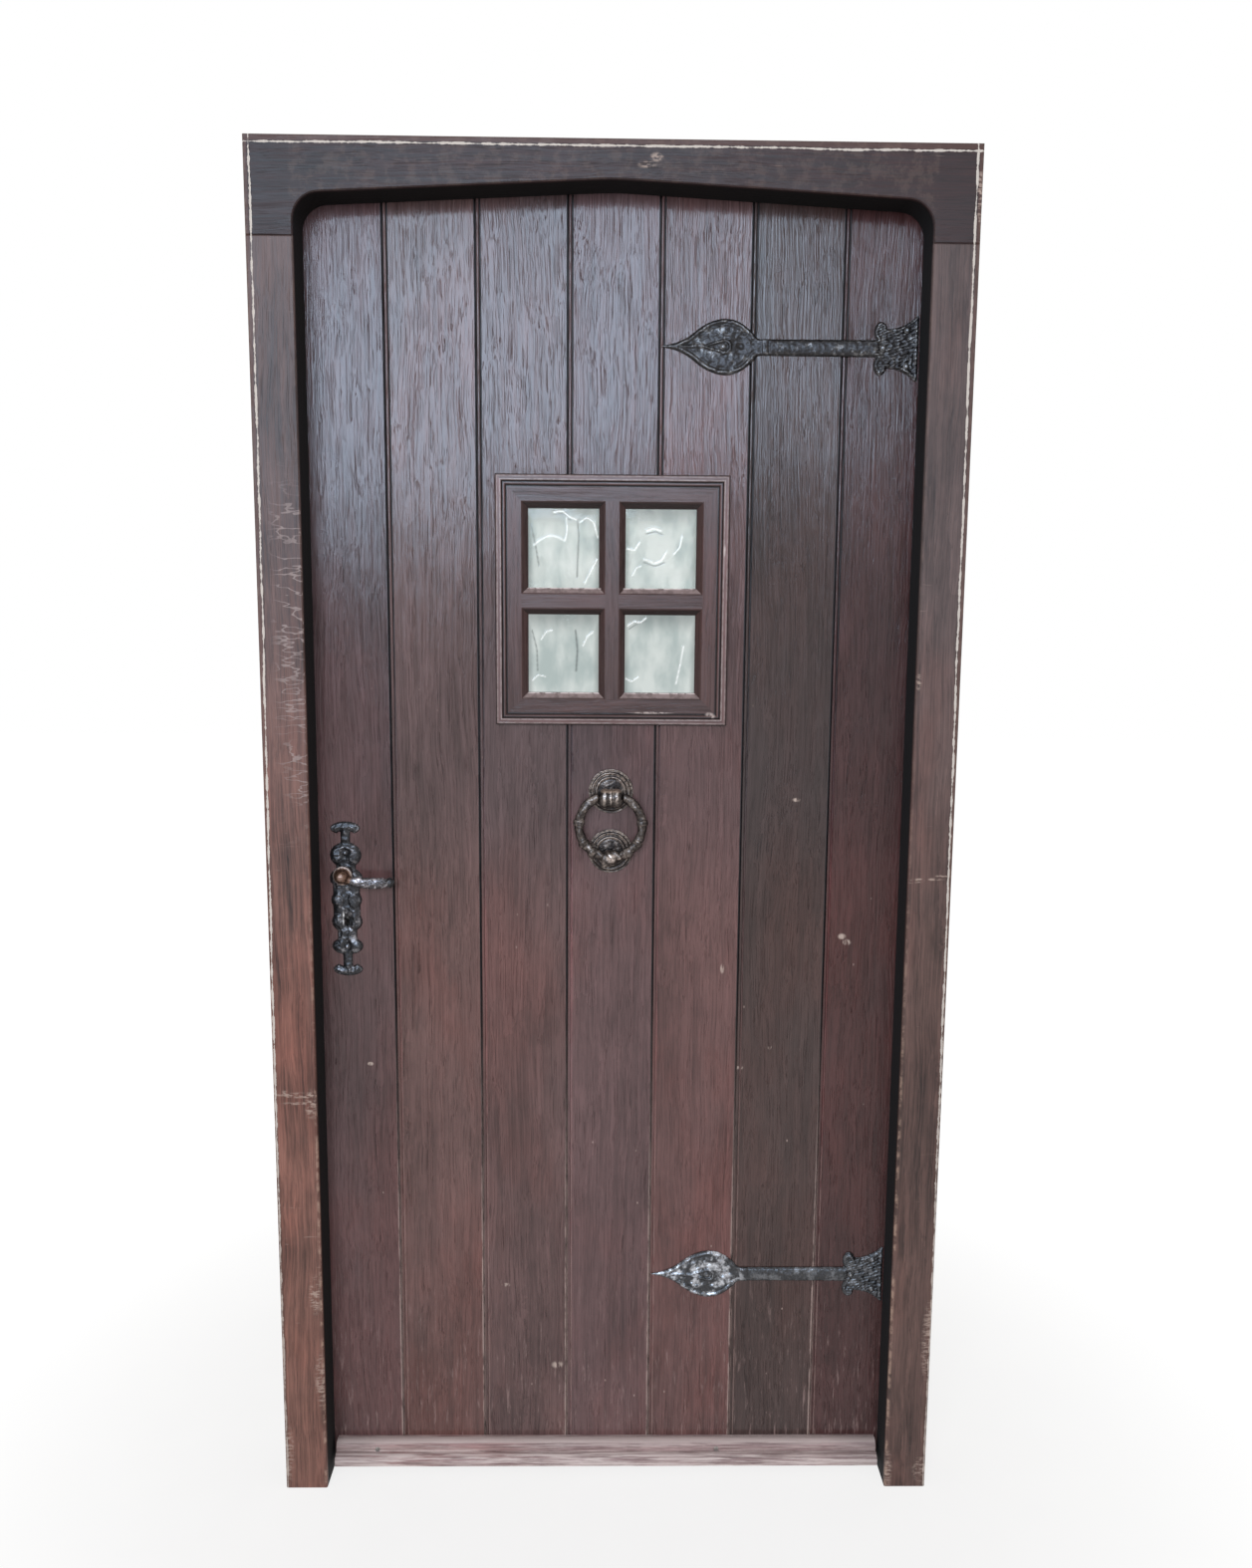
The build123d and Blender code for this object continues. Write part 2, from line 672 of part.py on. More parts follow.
# Mortice lock, its bolts and the strike plate
def make_lock():
    """The hollow lock case with its forend, follower, latch bolt, dead bolt and strike plate."""
    case_back = lock_edge + case_depth
    case_front = lock_edge + forend_thickness
    half = case_thickness / 2
    case = block((case_front, framing_mid - half, case_foot), (case_back, framing_mid + half, case_top))
    inner = block(
        (case_front, framing_mid - half + case_wall, case_foot + case_wall),
        (case_back - case_wall, framing_mid + half - case_wall, case_top - case_wall),
    )
    forend = block(
        (lock_edge, framing_mid - forend_width / 2, case_foot - forend_lap),
        (case_front, framing_mid + forend_width / 2, case_top + forend_lap),
    )
    mortice = case + forend
    latch_low, latch_high = latch_mid - latch_height / 2, latch_mid + latch_height / 2
    bolt_low, bolt_high = key_height - bolt_height / 2, key_height + bolt_height / 2

    def slot(thickness, low, high, grow, start, end):
        return block(
            (start, framing_mid - thickness / 2 - grow, low - grow),
            (end, framing_mid + thickness / 2 + grow, high + grow),
        )

    case = case - inner + forend
    case -= slot(latch_thickness, latch_low, latch_high, lock_clearance, lock_edge - overrun, case_front)
    case -= slot(bolt_thickness, bolt_low, bolt_high, lock_clearance, lock_edge - overrun, case_front)
    hub = Cylinder(follower_radius + follower_running_clearance, case_thickness + 2 * overrun)
    case -= facing(hub, (spindle_x, framing_mid, spindle_height), (0, 1, 0))
    case -= keyhole(framing_mid - half - overrun, framing_mid + half + overrun)

    screws = []
    for height in (case_foot - forend_lap + lock_screw_inset, case_top + forend_lap - lock_screw_inset):
        screw = facing(wood_screw(), (lock_edge, framing_mid, height), (-1, 0, 0))
        case -= screw
        mortice += screw
        screws.append(screw)
    parts["stile_lock_side"] -= mortice
    parts["lock_case"] = case

    tail_start = lock_edge + forend_thickness + latch_body_length
    stump_near = spindle_x + follower_arm_width / 2 + follower_arm_gap
    nose = polygon(
        (lock_edge - latch_projection, framing_mid + latch_thickness / 2),
        (tail_start, framing_mid + latch_thickness / 2),
        (tail_start, framing_mid - latch_thickness / 2),
        (lock_edge, framing_mid - latch_thickness / 2),
    )
    latch = extrude(Pos(0, 0, latch_low) * nose, amount=latch_height, dir=(0, 0, 1))
    stump_far = stump_near + latch_stump_width
    tail_low, stump_low = latch_high - latch_tail_height, latch_high - latch_stump_height
    latch += slot(latch_tail_thickness, tail_low, latch_high, 0, tail_start, stump_far)
    latch += slot(latch_tail_thickness, stump_low, latch_high, 0, stump_near, stump_far)
    parts["latch_bolt"] = latch

    hub_at = (spindle_x, framing_mid, spindle_height)
    follower = facing(Cylinder(follower_radius, case_thickness), hub_at, (0, 1, 0))
    follower += block(
        (spindle_x - follower_arm_width / 2, framing_mid - follower_arm_thickness / 2, spindle_height),
        (
            spindle_x + follower_arm_width / 2,
            framing_mid + follower_arm_thickness / 2,
            spindle_height + follower_arm_reach,
        ),
    )
    parts["follower"] = follower - square_bar(spindle_side + 2 * spindle_clearance, leaf_front, leaf_back)
    parts["dead_bolt"] = slot(bolt_thickness, bolt_low, bolt_high, 0, lock_edge, lock_edge + bolt_length)

    strike_face = -rebate_half
    strike_back = strike_face - strike_thickness
    strike = block(
        (strike_back, framing_mid - strike_width / 2, case_foot - strike_lap),
        (strike_face, framing_mid + strike_width / 2, case_top + strike_lap),
    )
    jamb = parts["jamb_lock_side"] - strike
    for thickness, low, high, reach in (
        (latch_thickness, latch_low, latch_high, latch_projection),
        (bolt_thickness, bolt_low, bolt_high, bolt_throw),
    ):
        pocket_end = lock_edge - reach - pocket_clearance
        pocket = slot(thickness, low, high, pocket_clearance, pocket_end, strike_face + overrun)
        strike -= pocket
        jamb -= pocket
    strike_screws = []
    for height in (case_foot - strike_lap + lock_screw_inset, case_top + strike_lap - lock_screw_inset):
        screw = facing(wood_screw(), (strike_face, framing_mid, height), (1, 0, 0))
        strike -= screw
        jamb -= screw
        strike_screws.append(screw)
    parts["strike_plate"] = strike
    parts["jamb_lock_side"] = jamb
    return strike_screws, screws


def square_bar(side, front, back):
    """A square bar along the spindle's axis."""
    return Pos(spindle_x, (front + back) / 2, spindle_height) * Box(side, back - front, side)


def keyhole(front, back):
    """A keyhole's cutter: a round eye over a straight slot."""
    eye = Pos(spindle_x, key_height) * Circle(keyhole_radius)
    slot_middle = key_height - keyhole_slot_drop / 2
    slot = Pos(spindle_x, slot_middle) * Rectangle(keyhole_slot_width, keyhole_slot_drop)
    return upright(eye + slot, front, back)


# Lever handle
lobe_shares = (
    # place down the plate, half height and half width, as shares of the plate's length and width
    (0.215, 0.083, 0.50),
    (0.365, 0.074, 0.52),
    (0.505, 0.073, 0.49),
    (0.645, 0.073, 0.49),
    (0.805, 0.056, 0.50),
)
spine_share = 0.31
spine_ends_shares = (0.17, 0.83)
body_share = 0.43
body_ends_shares = (0.37, 0.67)
neck_width_share = 0.30
finial_depth_share = 0.085
finial_width_share = 0.47
finial_bite_share = 0.62
boss_place_share = 0.26
boss_width_share = 0.17
boss_height_share = 0.045
screw_place_shares = (0.20, 0.805)


def plate_outline():
    """The lobed plate's outline: lobes down a spine, with a crescent finial at each end of a neck."""
    top = spindle_height + plate_top_above_spindle

    def down(share):
        return top - share * plate_length

    def spine(half_share, ends):
        height = (ends[1] - ends[0]) * plate_length
        return Pos(spindle_x, down(sum(ends) / 2)) * Rectangle(2 * half_share * plate_width, height)

    outline = spine(spine_share, spine_ends_shares) + spine(body_share, body_ends_shares)
    outline += spine(neck_width_share / 2, (finial_depth_share / 2, 1 - finial_depth_share / 2))
    for place, half_height, half_width in lobe_shares:
        outline += Pos(spindle_x, down(place)) * Ellipse(half_width * plate_width, half_height * plate_length)
    finial_half = finial_depth_share * plate_length / 2
    for place, inward in ((finial_depth_share / 2, -1), (1 - finial_depth_share / 2, 1)):
        crescent = Ellipse(finial_width_share * plate_width, finial_half)
        bite = Pos(0, inward * finial_half) * Ellipse(
            finial_width_share * finial_bite_share * plate_width, finial_half * finial_bite_share
        )
        outline += Pos(spindle_x, down(place)) * (crescent - bite)
    return outline


def handle_plate():
    """The outside plate: a lobed casting with raised bosses on its lobes."""
    top = spindle_height + plate_top_above_spindle
    front = leaf_front - plate_thickness
    plate = upright(plate_outline(), front, leaf_front)
    boss = Ellipse(boss_width_share * plate_width, boss_height_share * plate_length)
    for lobe in lobe_shares:
        for side in (-1, 1):
            at = Pos(spindle_x + side * boss_place_share * plate_width, top - lobe[0] * plate_length)
            plate += upright(at * boss, front - plate_relief, leaf_front)
    hole = Cylinder(lever_neck_radius + lever_running_clearance, 2 * lever_projection)
    plate -= facing(hole, (spindle_x, front, spindle_height), (0, 1, 0))
    return plate - keyhole(front - overrun, leaf_front + overrun)


lever_shares = (
    # place along the arm's reach, share of its drop, half height and half depth as shares of the dome radius
    (0.00, 0.45, 0.56, 0.54),
    (0.30, 0.85, 0.63, 0.50),
    (0.62, 1.00, 0.67, 0.48),
    (0.88, 0.92, 0.54, 0.43),
    (1.00, 0.85, 0.28, 0.26),
)
collar_share = 0.16
waist_share = 0.40
waist_radius_share = 0.80
rim_start_share = 0.50
dome_start_share = 0.60


def lever():
    """The outside lever: a boss with a rim and a dome on the spindle's axis, and a drooping oval arm."""
    front = -plate_thickness - plate_relief
    reach = lever_projection + front
    profile = make_face([
        Polyline(
            (0, 0),
            (lever_neck_radius, 0),
            (lever_neck_radius, front - lever_running_clearance),
            (lever_collar_radius, front - lever_running_clearance),
            (lever_collar_radius, front - collar_share * reach),
            (waist_radius_share * lever_collar_radius, front - waist_share * reach),
            (lever_rim_radius, front - rim_start_share * reach),
            (lever_rim_radius, front - dome_start_share * reach),
            (lever_dome_radius, front - dome_start_share * reach),
        ),
        dome_arc(lever_dome_radius, front - dome_start_share * reach, -lever_projection),
        Line((0, -lever_projection), (0, 0)),
    ])
    boss = Pos(spindle_x, leaf_front, spindle_height) * revolve(profile, axis=Axis.Y)
    sections = []
    for along, drop, half_height, half_depth in lever_shares:
        plane = Plane(
            (spindle_x + along * lever_reach, leaf_front - lever_arm_out, spindle_height - drop * lever_drop),
            x_dir=(0, 1, 0), z_dir=(1, 0, 0),
        )
        sections.append(plane * Ellipse(half_depth * lever_dome_radius, half_height * lever_dome_radius))
    arm = loft(sections)
    socket = square_bar(spindle_side, leaf_front - spindle_socket, leaf_front + overrun)
    return boss + arm - socket


def make_handle():
    """Both lever handles on one spindle, with their plates and screws."""
    mirror_plane = Plane((0, leaf_mid, 0), x_dir=(1, 0, 0), z_dir=(0, 1, 0))
    plate, outside = handle_plate(), lever()
    screws = []
    plate_top = spindle_height + plate_top_above_spindle
    for place in screw_place_shares:
        at = (spindle_x, leaf_front - plate_thickness, plate_top - place * plate_length)
        screw = facing(dome_nail(plate_nail_length), at, (0, -1, 0))
        plate -= screw
        screws += [screw, mirror(screw, about=mirror_plane)]
    parts["handle_plate_outside"] = plate
    parts["handle_plate_inside"] = mirror(plate, about=mirror_plane)
    parts["lever_outside"] = outside
    parts["lever_inside"] = mirror(outside, about=mirror_plane)
    parts["spindle"] = square_bar(spindle_side, leaf_front - spindle_socket, leaf_back + spindle_socket)
    through = Cylinder(spindle_hole_radius, leaf_thickness + 2 * overrun)
    through = facing(through, (spindle_x, leaf_mid, spindle_height), (0, 1, 0))
    key_cut = keyhole(leaf_front - overrun, leaf_back + overrun)
    for carrier in ("board_1", "stile_lock_side"):
        parts[carrier] -= through
        parts[carrier] -= key_cut
        for screw in screws:
            parts[carrier] -= screw
    parts["handle_screws"] = Compound(children=screws)


# Strap fronts
hook_shares = (
    # points of the end plate's hooked shoulder, as shares of the plate's length and half height
    (0.00, 0.26),
    (-0.06, 0.58),
    (0.06, 0.82),
    (0.19, 0.76),
    (0.25, 0.60),
    (0.58, 0.68),
    (0.94, 1.00),
)


def strap_front():
    """A strap front laid along +X from its tip: a ribbed leaf, a collar, a bar and a hooked end plate."""
    plate_start = strap_length - strap_plate_length
    bulb = [(along * strap_bulb_length, high * strap_bulb_half) for along, high in strap_bulb_shares]
    hook = []
    for along, high in hook_shares:
        hook.append((plate_start + along * strap_plate_length, high * strap_plate_half))
    half = make_face([
        Spline(
            (0, 0), (strap_tip_length, strap_tip_half), *bulb, (strap_bulb_length, strap_bar_half),
            tangents=[(strap_tip_length, strap_tip_half), (1, 0)],
        ),
        Line((strap_bulb_length, strap_bar_half), hook[0]),
        ThreePointArc(*hook[0:3]),
        ThreePointArc(*hook[2:5]),
        ThreePointArc(*hook[4:7]),
        Polyline(hook[6], (strap_length, strap_plate_half), (strap_length, 0), (0, 0)),
    ])
    outline = half + mirror(half, about=Plane.XZ)
    strap = upright(outline, leaf_front - strap_thickness, leaf_front)

    def drop(radius, length):
        tip = (-length, 0)
        return Circle(radius) + polygon(tip, (0, -radius), (0, radius))

    loop = drop(strap_drop_radius, strap_drop_length)
    loop -= drop(strap_drop_radius - strap_drop_wall, strap_drop_length - 2 * strap_drop_wall)
    raised = upright(loop, leaf_front - strap_thickness - strap_drop_relief, leaf_front)
    strap += Pos(strap_bulb_at, 0, 0) * raised
    rib_end = strap_bulb_at - strap_drop_length + strap_drop_wall
    rib = polygon((strap_tip_length, 0), (rib_end, -strap_rib_half), (rib_end, strap_rib_half))
    strap += upright(rib, leaf_front - strap_thickness - strap_rib_relief, leaf_front)
    return strap + block(
        (strap_bulb_length, leaf_front - strap_thickness - strap_collar_relief, -strap_bar_half),
        (strap_bulb_length + strap_collar_width, leaf_front, strap_bar_half),
    )


nail_places_shares = (
    # nails as shares of the strap's length and of its plate's half height
    (0.243, 0.0),
    (0.862, 0.0),
    (0.955, 0.55),
    (0.955, -0.55),
)


def make_straps():
    """The two strap fronts and their nails, on the boards at the hinge side."""
    nails = []
    tip = opening_half - strap_end_gap - strap_length
    for name, share in zip(("upper", "lower"), strap_height_shares):
        height = floor_gap + share * leaf_height
        strap = Pos(tip, 0, height) * strap_front()
        for along, high in nail_places_shares:
            at = (tip + along * strap_length, leaf_front - strap_thickness, height + high * strap_plate_half)
            nail = facing(dome_nail(nail_length), at, (0, -1, 0))
            strap -= nail
            for carrier in ("board_5", "board_6", "board_7"):
                parts[carrier] -= nail
            nails.append(nail)
        parts[f"strap_{name}"] = strap
    parts["strap_nails"] = Compound(children=nails)


# Ring knocker
disc_shares = (
    # radius and height of the stepped disc's profile, as shares of its radius and of its step height
    (1.00, 0.00),
    (1.00, 0.42),
    (0.95, 0.58),
    (0.87, 0.58),
    (0.85, 0.82),
    (0.78, 0.94),
    (0.70, 0.82),
    (0.67, 1.06),
    (0.60, 1.12),
)


def stepped_disc(height, crown):
    """A stepped, round plate with a stud behind it, faced along -Y."""
    points = [(radius * knocker_plate_radius, -share * knocker_step) for radius, share in disc_shares]
    rim = points[-1]
    profile = make_face([
        Polyline((0, 0), *points),
        dome_arc(rim[0], rim[1], -crown),
        Line((0, -crown), (0, 0)),
    ])
    stud_length = leaf_thickness + nut_washer_height + nut_height
    stud = facing(Cylinder(knocker_stud_radius, stud_length), (0, stud_length / 2, 0), (0, 1, 0))
    return Pos(0, leaf_front, height) * (revolve(profile, axis=Axis.Y) + stud)


eye_end_share = 0.80
eye_bulge_share = 0.60
eye_groove_share = 0.90
eye_ridge_share = 0.17


def knocker_eye():
    """The eye that carries the ring: a barrel along X with a ridge round its middle, on a neck."""
    end_radius = eye_end_share * knocker_eye_radius
    groove_radius = eye_groove_share * knocker_eye_radius
    bulge = eye_bulge_share * knocker_eye_half
    ridge = eye_ridge_share * knocker_eye_half
    profile = make_face([
        Line((-knocker_eye_half, 0), (-knocker_eye_half, end_radius)),
        ThreePointArc((-knocker_eye_half, end_radius), (-bulge, knocker_eye_radius), (-ridge, groove_radius)),
        ThreePointArc((-ridge, groove_radius), (0, knocker_eye_radius), (ridge, groove_radius)),
        ThreePointArc((ridge, groove_radius), (bulge, knocker_eye_radius), (knocker_eye_half, end_radius)),
        Polyline((knocker_eye_half, end_radius), (knocker_eye_half, 0), (-knocker_eye_half, 0)),
    ])
    barrel = revolve(profile, axis=Axis.X)
    neck = block(
        (-knocker_neck_width / 2, 0, -knocker_neck_height / 2),
        (knocker_neck_width / 2, knocker_pivot_out - knocker_rim, knocker_neck_height / 2),
    )
    bore_end = knocker_eye_half - ring_pin_depth - ring_ear_gap
    bore_length = ring_pin_depth + ring_ear_gap + overrun
    bore = Cylinder(ring_pin_radius + ring_running_clearance, bore_length)
    eye = barrel + neck
    for side in (-1, 1):
        eye -= facing(bore, (side * (bore_end + bore_length / 2), 0, 0), (1, 0, 0))
    return Pos(0, leaf_front - knocker_pivot_out, knocker_pivot_height) * eye


ring_knots_degrees = (-34.0, 34.0)
ring_collars_degrees = (-96.0, -58.0, 58.0, 96.0)
ring_curl_degrees = (20.0, 215.0)


def knocker_ring():
    """The open ring, hung on two pins, with a curled striking ball, two knots and four collars."""
    gap = math.degrees(math.asin(ring_ear_x / ring_radius))
    bar = Rot(0, 0, 90 + gap) * Torus(ring_radius, ring_bar_radius, major_angle=360 - 2 * gap)
    ring = Pos(0, 0, -ring_drop) * (Rot(90, 0, 0) * bar)

    def on_ring(degrees):
        angle = math.radians(degrees)
        return (ring_radius * math.sin(angle), 0, -ring_drop - ring_radius * math.cos(angle))

    ring += Pos(*on_ring(0)) * Sphere(ring_ball_radius)
    curl_start, curl_end = ring_curl_degrees
    curl = Torus(ring_curl_radius, ring_curl_bar_radius, major_angle=curl_end - curl_start)
    curl = Rot(90, 0, 0) * (Rot(0, 0, curl_start) * curl)
    ring += Pos(*on_ring(0)) * (Pos(0, -ring_curl_out, 0) * curl)
    for degrees in ring_knots_degrees:
        ring += Pos(*on_ring(degrees)) * Sphere(ring_knot_radius)
    for degrees in ring_collars_degrees:
        collar = facing(Cylinder(ring_collar_radius, ring_bar_radius), (0, 0, 0), (1, 0, 0))
        ring += Pos(*on_ring(degrees)) * (Rot(0, -degrees, 0) * collar)
    for side in (-1, 1):
        ring += Pos(side * ring_ear_x, 0, 0) * Sphere(ring_ear_radius)
        pin_end = knocker_eye_half - ring_pin_depth
        pin = Cylinder(ring_pin_radius, ring_ear_x - pin_end)
        ring += facing(pin, (side * (ring_ear_x + pin_end) / 2, 0, 0), (1, 0, 0))
    return Pos(0, leaf_front - knocker_pivot_out, knocker_pivot_height) * ring


def make_knocker():
    """The knocker's two stepped discs, its ring and the nuts inside."""
    crown = knocker_pivot_out - ring_ball_radius - ring_ball_gap
    top = stepped_disc(knocker_plate_height, crown) + knocker_eye()
    strike = stepped_disc(strike_disc_height, crown)
    nuts = []
    for height in (knocker_plate_height, strike_disc_height):
        washer_at = (0, leaf_back + nut_washer_height / 2, height)
        washer = facing(Cylinder(nut_washer_radius, nut_washer_height), washer_at, (0, 1, 0))
        hexagon = Pos(0, height) * RegularPolygon(nut_radius, 6)
        nut_front = leaf_back + nut_washer_height
        nut = washer + upright(hexagon, nut_front, nut_front + nut_height)
        stud = facing(Cylinder(knocker_stud_radius, 2 * leaf_thickness), (0, leaf_back, height), (0, 1, 0))
        nuts.append(nut - stud)
        for carrier in ("board_4_lower", "lock_rail"):
            parts[carrier] -= stud
    parts["knocker_plate"] = top
    parts["knocker_strike"] = strike
    parts["knocker_ring"] = knocker_ring()
    parts["knocker_nuts"] = Compound(children=nuts)


def make_weatherboard_screws():
    """Screws through the weatherboard's shelf into the boards."""
    screws = []
    flat = weatherboard_height - weatherboard_step - weatherboard_nose
    height = weatherboard_foot + weatherboard_step + flat / 2
    for share in weatherboard_screw_shares:
        at = (share * weatherboard_length, leaf_front - weatherboard_shelf, height)
        screw = facing(wood_screw(), at, (0, -1, 0))
        parts["weatherboard"] -= screw
        for name in ("board_1", "board_5"):
            parts[name] -= screw
        screws.append(screw)
    return screws


make_frame()
make_boards()
make_framing()
make_window()
make_weatherboard()
jamb_screws, leaf_hinge_screws = make_hinges()
strike_screws, lock_screws = make_lock()
make_handle()
make_straps()
make_knocker()
parts["frame_screws"] = Compound(children=jamb_screws + strike_screws)
parts["leaf_screws"] = Compound(children=leaf_hinge_screws + lock_screws + make_weatherboard_screws())

os.makedirs("parts", exist_ok=True)
for node, shape in parts.items():
    export_step(shape, f"parts/{node}.step")
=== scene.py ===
import json
import math

import bpy
import numpy as np
from mathutils import Matrix, Quaternion, Vector, kdtree, noise


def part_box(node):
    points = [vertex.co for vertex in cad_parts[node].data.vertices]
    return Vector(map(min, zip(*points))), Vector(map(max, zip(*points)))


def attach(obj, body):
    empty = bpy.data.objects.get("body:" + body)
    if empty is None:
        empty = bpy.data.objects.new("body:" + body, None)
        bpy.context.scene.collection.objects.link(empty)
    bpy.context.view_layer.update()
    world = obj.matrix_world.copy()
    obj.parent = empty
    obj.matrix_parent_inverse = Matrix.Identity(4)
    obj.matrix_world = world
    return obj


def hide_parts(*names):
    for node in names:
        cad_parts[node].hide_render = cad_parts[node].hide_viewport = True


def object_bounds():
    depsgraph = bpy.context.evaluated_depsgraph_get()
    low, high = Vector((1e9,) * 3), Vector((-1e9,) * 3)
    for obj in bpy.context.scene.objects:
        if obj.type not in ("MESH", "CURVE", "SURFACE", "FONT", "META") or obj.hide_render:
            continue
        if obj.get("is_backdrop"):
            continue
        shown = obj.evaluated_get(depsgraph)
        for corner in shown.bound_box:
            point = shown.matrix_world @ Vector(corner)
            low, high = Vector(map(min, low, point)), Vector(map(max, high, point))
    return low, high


# An arched oak door in its frame. Every length is in metres, in the part's own frame.
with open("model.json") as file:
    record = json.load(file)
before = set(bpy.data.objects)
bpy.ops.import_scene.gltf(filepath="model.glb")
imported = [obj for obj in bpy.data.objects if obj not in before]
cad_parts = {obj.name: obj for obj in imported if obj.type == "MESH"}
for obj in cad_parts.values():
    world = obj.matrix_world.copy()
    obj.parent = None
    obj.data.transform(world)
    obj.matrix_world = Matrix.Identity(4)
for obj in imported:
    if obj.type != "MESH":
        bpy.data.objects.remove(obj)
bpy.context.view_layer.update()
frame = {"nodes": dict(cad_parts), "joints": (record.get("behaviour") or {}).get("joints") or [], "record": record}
nodes = frame["nodes"]
scene = bpy.context.scene

# Places that the wear, the sculpted forms and the materials are set out from
leaf_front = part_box("board_1")[0].y
leaf_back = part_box("handle_plate_inside")[0].y
frame_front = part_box("jamb_lock_side")[0].y
frame_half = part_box("jamb_hinge_side")[1].x
opening_half = 0.445
dull_tops = (1.85, 1.92)  # between these heights, faces that look up turn dull
spindle = (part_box("spindle")[0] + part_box("spindle")[1]) / 2
leaf_middle = (leaf_front + leaf_back) / 2
knocker_pivot = next(Vector(j["pos_m"]) for j in frame["joints"] if j["name"] == "knocker_swing")
keyhole_x, keyhole_z = -0.405, 0.910
ring_radius = 0.048
ring_drop = 0.042916
ring_middle = knocker_pivot.z - ring_drop
disc_centres = (knocker_pivot.z + 0.008, ring_middle - ring_radius + 0.0065)
disc_ridges = (0.0318, 0.0265, 0.0208)
disc_face = leaf_front - 0.0085
black = (0.004, 0.004, 0.004)


# Node trees in short form
class Tree:
    """A material's node tree, with one short call for each kind of node."""

    def __init__(self, name):
        self.material = bpy.data.materials.new(name)
        self.material.use_nodes = True
        self.tree = self.material.node_tree
        self.tree.nodes.clear()
        self.out = self.tree.nodes.new("ShaderNodeOutputMaterial")
        self.point = self.node("ShaderNodeTexCoord").outputs["Object"]
        self.axes = self.node("ShaderNodeSeparateXYZ", Vector=self.point).outputs

    def put(self, socket, value):
        """Links another socket, or sets a constant."""
        if isinstance(value, bpy.types.NodeSocket):
            self.tree.links.new(value, socket)
        elif hasattr(socket.default_value, "__len__") and len(socket.default_value) == 4:
            socket.default_value = (*value[:3], 1.0)
        else:
            socket.default_value = value

    def node(self, kind, settings=None, **inputs):
        """A new node. An underscore in an input's name stands for a space."""
        made = self.tree.nodes.new(kind)
        for key, value in (settings or {}).items():
            setattr(made, key, value)
        for key, value in inputs.items():
            self.put(made.inputs[key.replace("_", " ")], value)
        return made

    def math(self, operation, a, b=0.0):
        made = self.node("ShaderNodeMath", {"operation": operation})
        self.put(made.inputs[0], a)
        self.put(made.inputs[1], b)
        return made.outputs[0]

    def times(self, first, *others):
        for other in others:
            first = self.math("MULTIPLY", first, other)
        return first

    def plus(self, first, *others):
        for other in others:
            first = self.math("ADD", first, other)
        return first

    def most(self, first, *others):
        for other in others:
            first = self.math("MAXIMUM", first, other)
        return first

    def apart(self, value, place):
        """How far a value is from a place, either way."""
        return self.math("ABSOLUTE", self.math("SUBTRACT", value, place))

    def length(self, vector):
        made = self.node("ShaderNodeVectorMath", {"operation": "LENGTH"})
        self.put(made.inputs[0], vector)
        return made.outputs["Value"]

    def near(self, value, place, reach):
        """1 where a value is at a place, falling to 0 at the reach."""
        return self.step(self.apart(value, place), reach, 0.35 * reach)

    def step(self, value, low, high, to_low=0.0, to_high=1.0):
        """A smooth ramp from one number at low to another at high, which may lie below low."""
        made = self.node("ShaderNodeMapRange", {"interpolation_type": "SMOOTHSTEP"})
        keys = ("Value", "From Min", "From Max", "To Min", "To Max")
        for key, given in zip(keys, (value, low, high, to_low, to_high)):
            self.put(made.inputs[key], given)
        return made.outputs[0]

    def mix(self, share, a, b):
        made = self.node("ShaderNodeMix", {"data_type": "RGBA"})
        for index, given in ((0, share), (6, a), (7, b)):
            self.put(made.inputs[index], given)
        return made.outputs[2]

    def scaled(self, colour, factor):
        made = self.node("ShaderNodeVectorMath", {"operation": "SCALE"}, Scale=factor)
        self.put(made.inputs[0], colour)
        return made.outputs[0]

    def moved(self, point, shift):
        made = self.node("ShaderNodeVectorMath", {"operation": "ADD"})
        self.put(made.inputs[0], point)
        self.put(made.inputs[1], shift)
        return made.outputs[0]

    def tint(self, share, colour, ratio):
        """Multiplies a colour by a ratio, as far as the share says."""
        made = self.node("ShaderNodeVectorMath", {"operation": "MULTIPLY"})
        self.put(made.inputs[0], colour)
        self.put(made.inputs[1], ratio)
        return self.mix(share, colour, made.outputs[0])

    def place(self, scale=(1, 1, 1), offset=(0, 0, 0), turn=(0, 0, 0), point=None):
        made = self.node("ShaderNodeMapping", Vector=point or self.point)
        made.inputs["Location"].default_value = offset
        made.inputs["Rotation"].default_value = turn
        made.inputs["Scale"].default_value = scale
        return made.outputs[0]

    def noise(self, point, scale, detail=3.0, rough=0.55):
        made = self.node("ShaderNodeTexNoise", Vector=point, Scale=scale, Detail=detail, Roughness=rough)
        return made.outputs["Fac"]

    def upward(self):
        """How far the surface faces up, from -1 to 1."""
        normal = self.node("ShaderNodeNewGeometry").outputs["Normal"]
        return self.node("ShaderNodeSeparateXYZ", Vector=normal).outputs[2]

    def spot(self, centre, size):
        """1 in the middle of an oval, falling to 0 at its edge."""
        shrunk = self.place(tuple(1 / s for s in size), tuple(-c / s for c, s in zip(centre, size)))
        return self.step(self.length(shrunk), 1.0, 0.35)

    def finish(self, **inputs):
        """Ends the tree in one shader."""
        surface = self.node("ShaderNodeBsdfPrincipled", **inputs)
        self.tree.links.new(surface.outputs[0], self.out.inputs[0])
        return self.material


def dress(material, *names):
    """Gives CAD nodes their material."""
    for name in names:
        data = nodes[name].data
        data.materials.clear()
        data.materials.append(material)


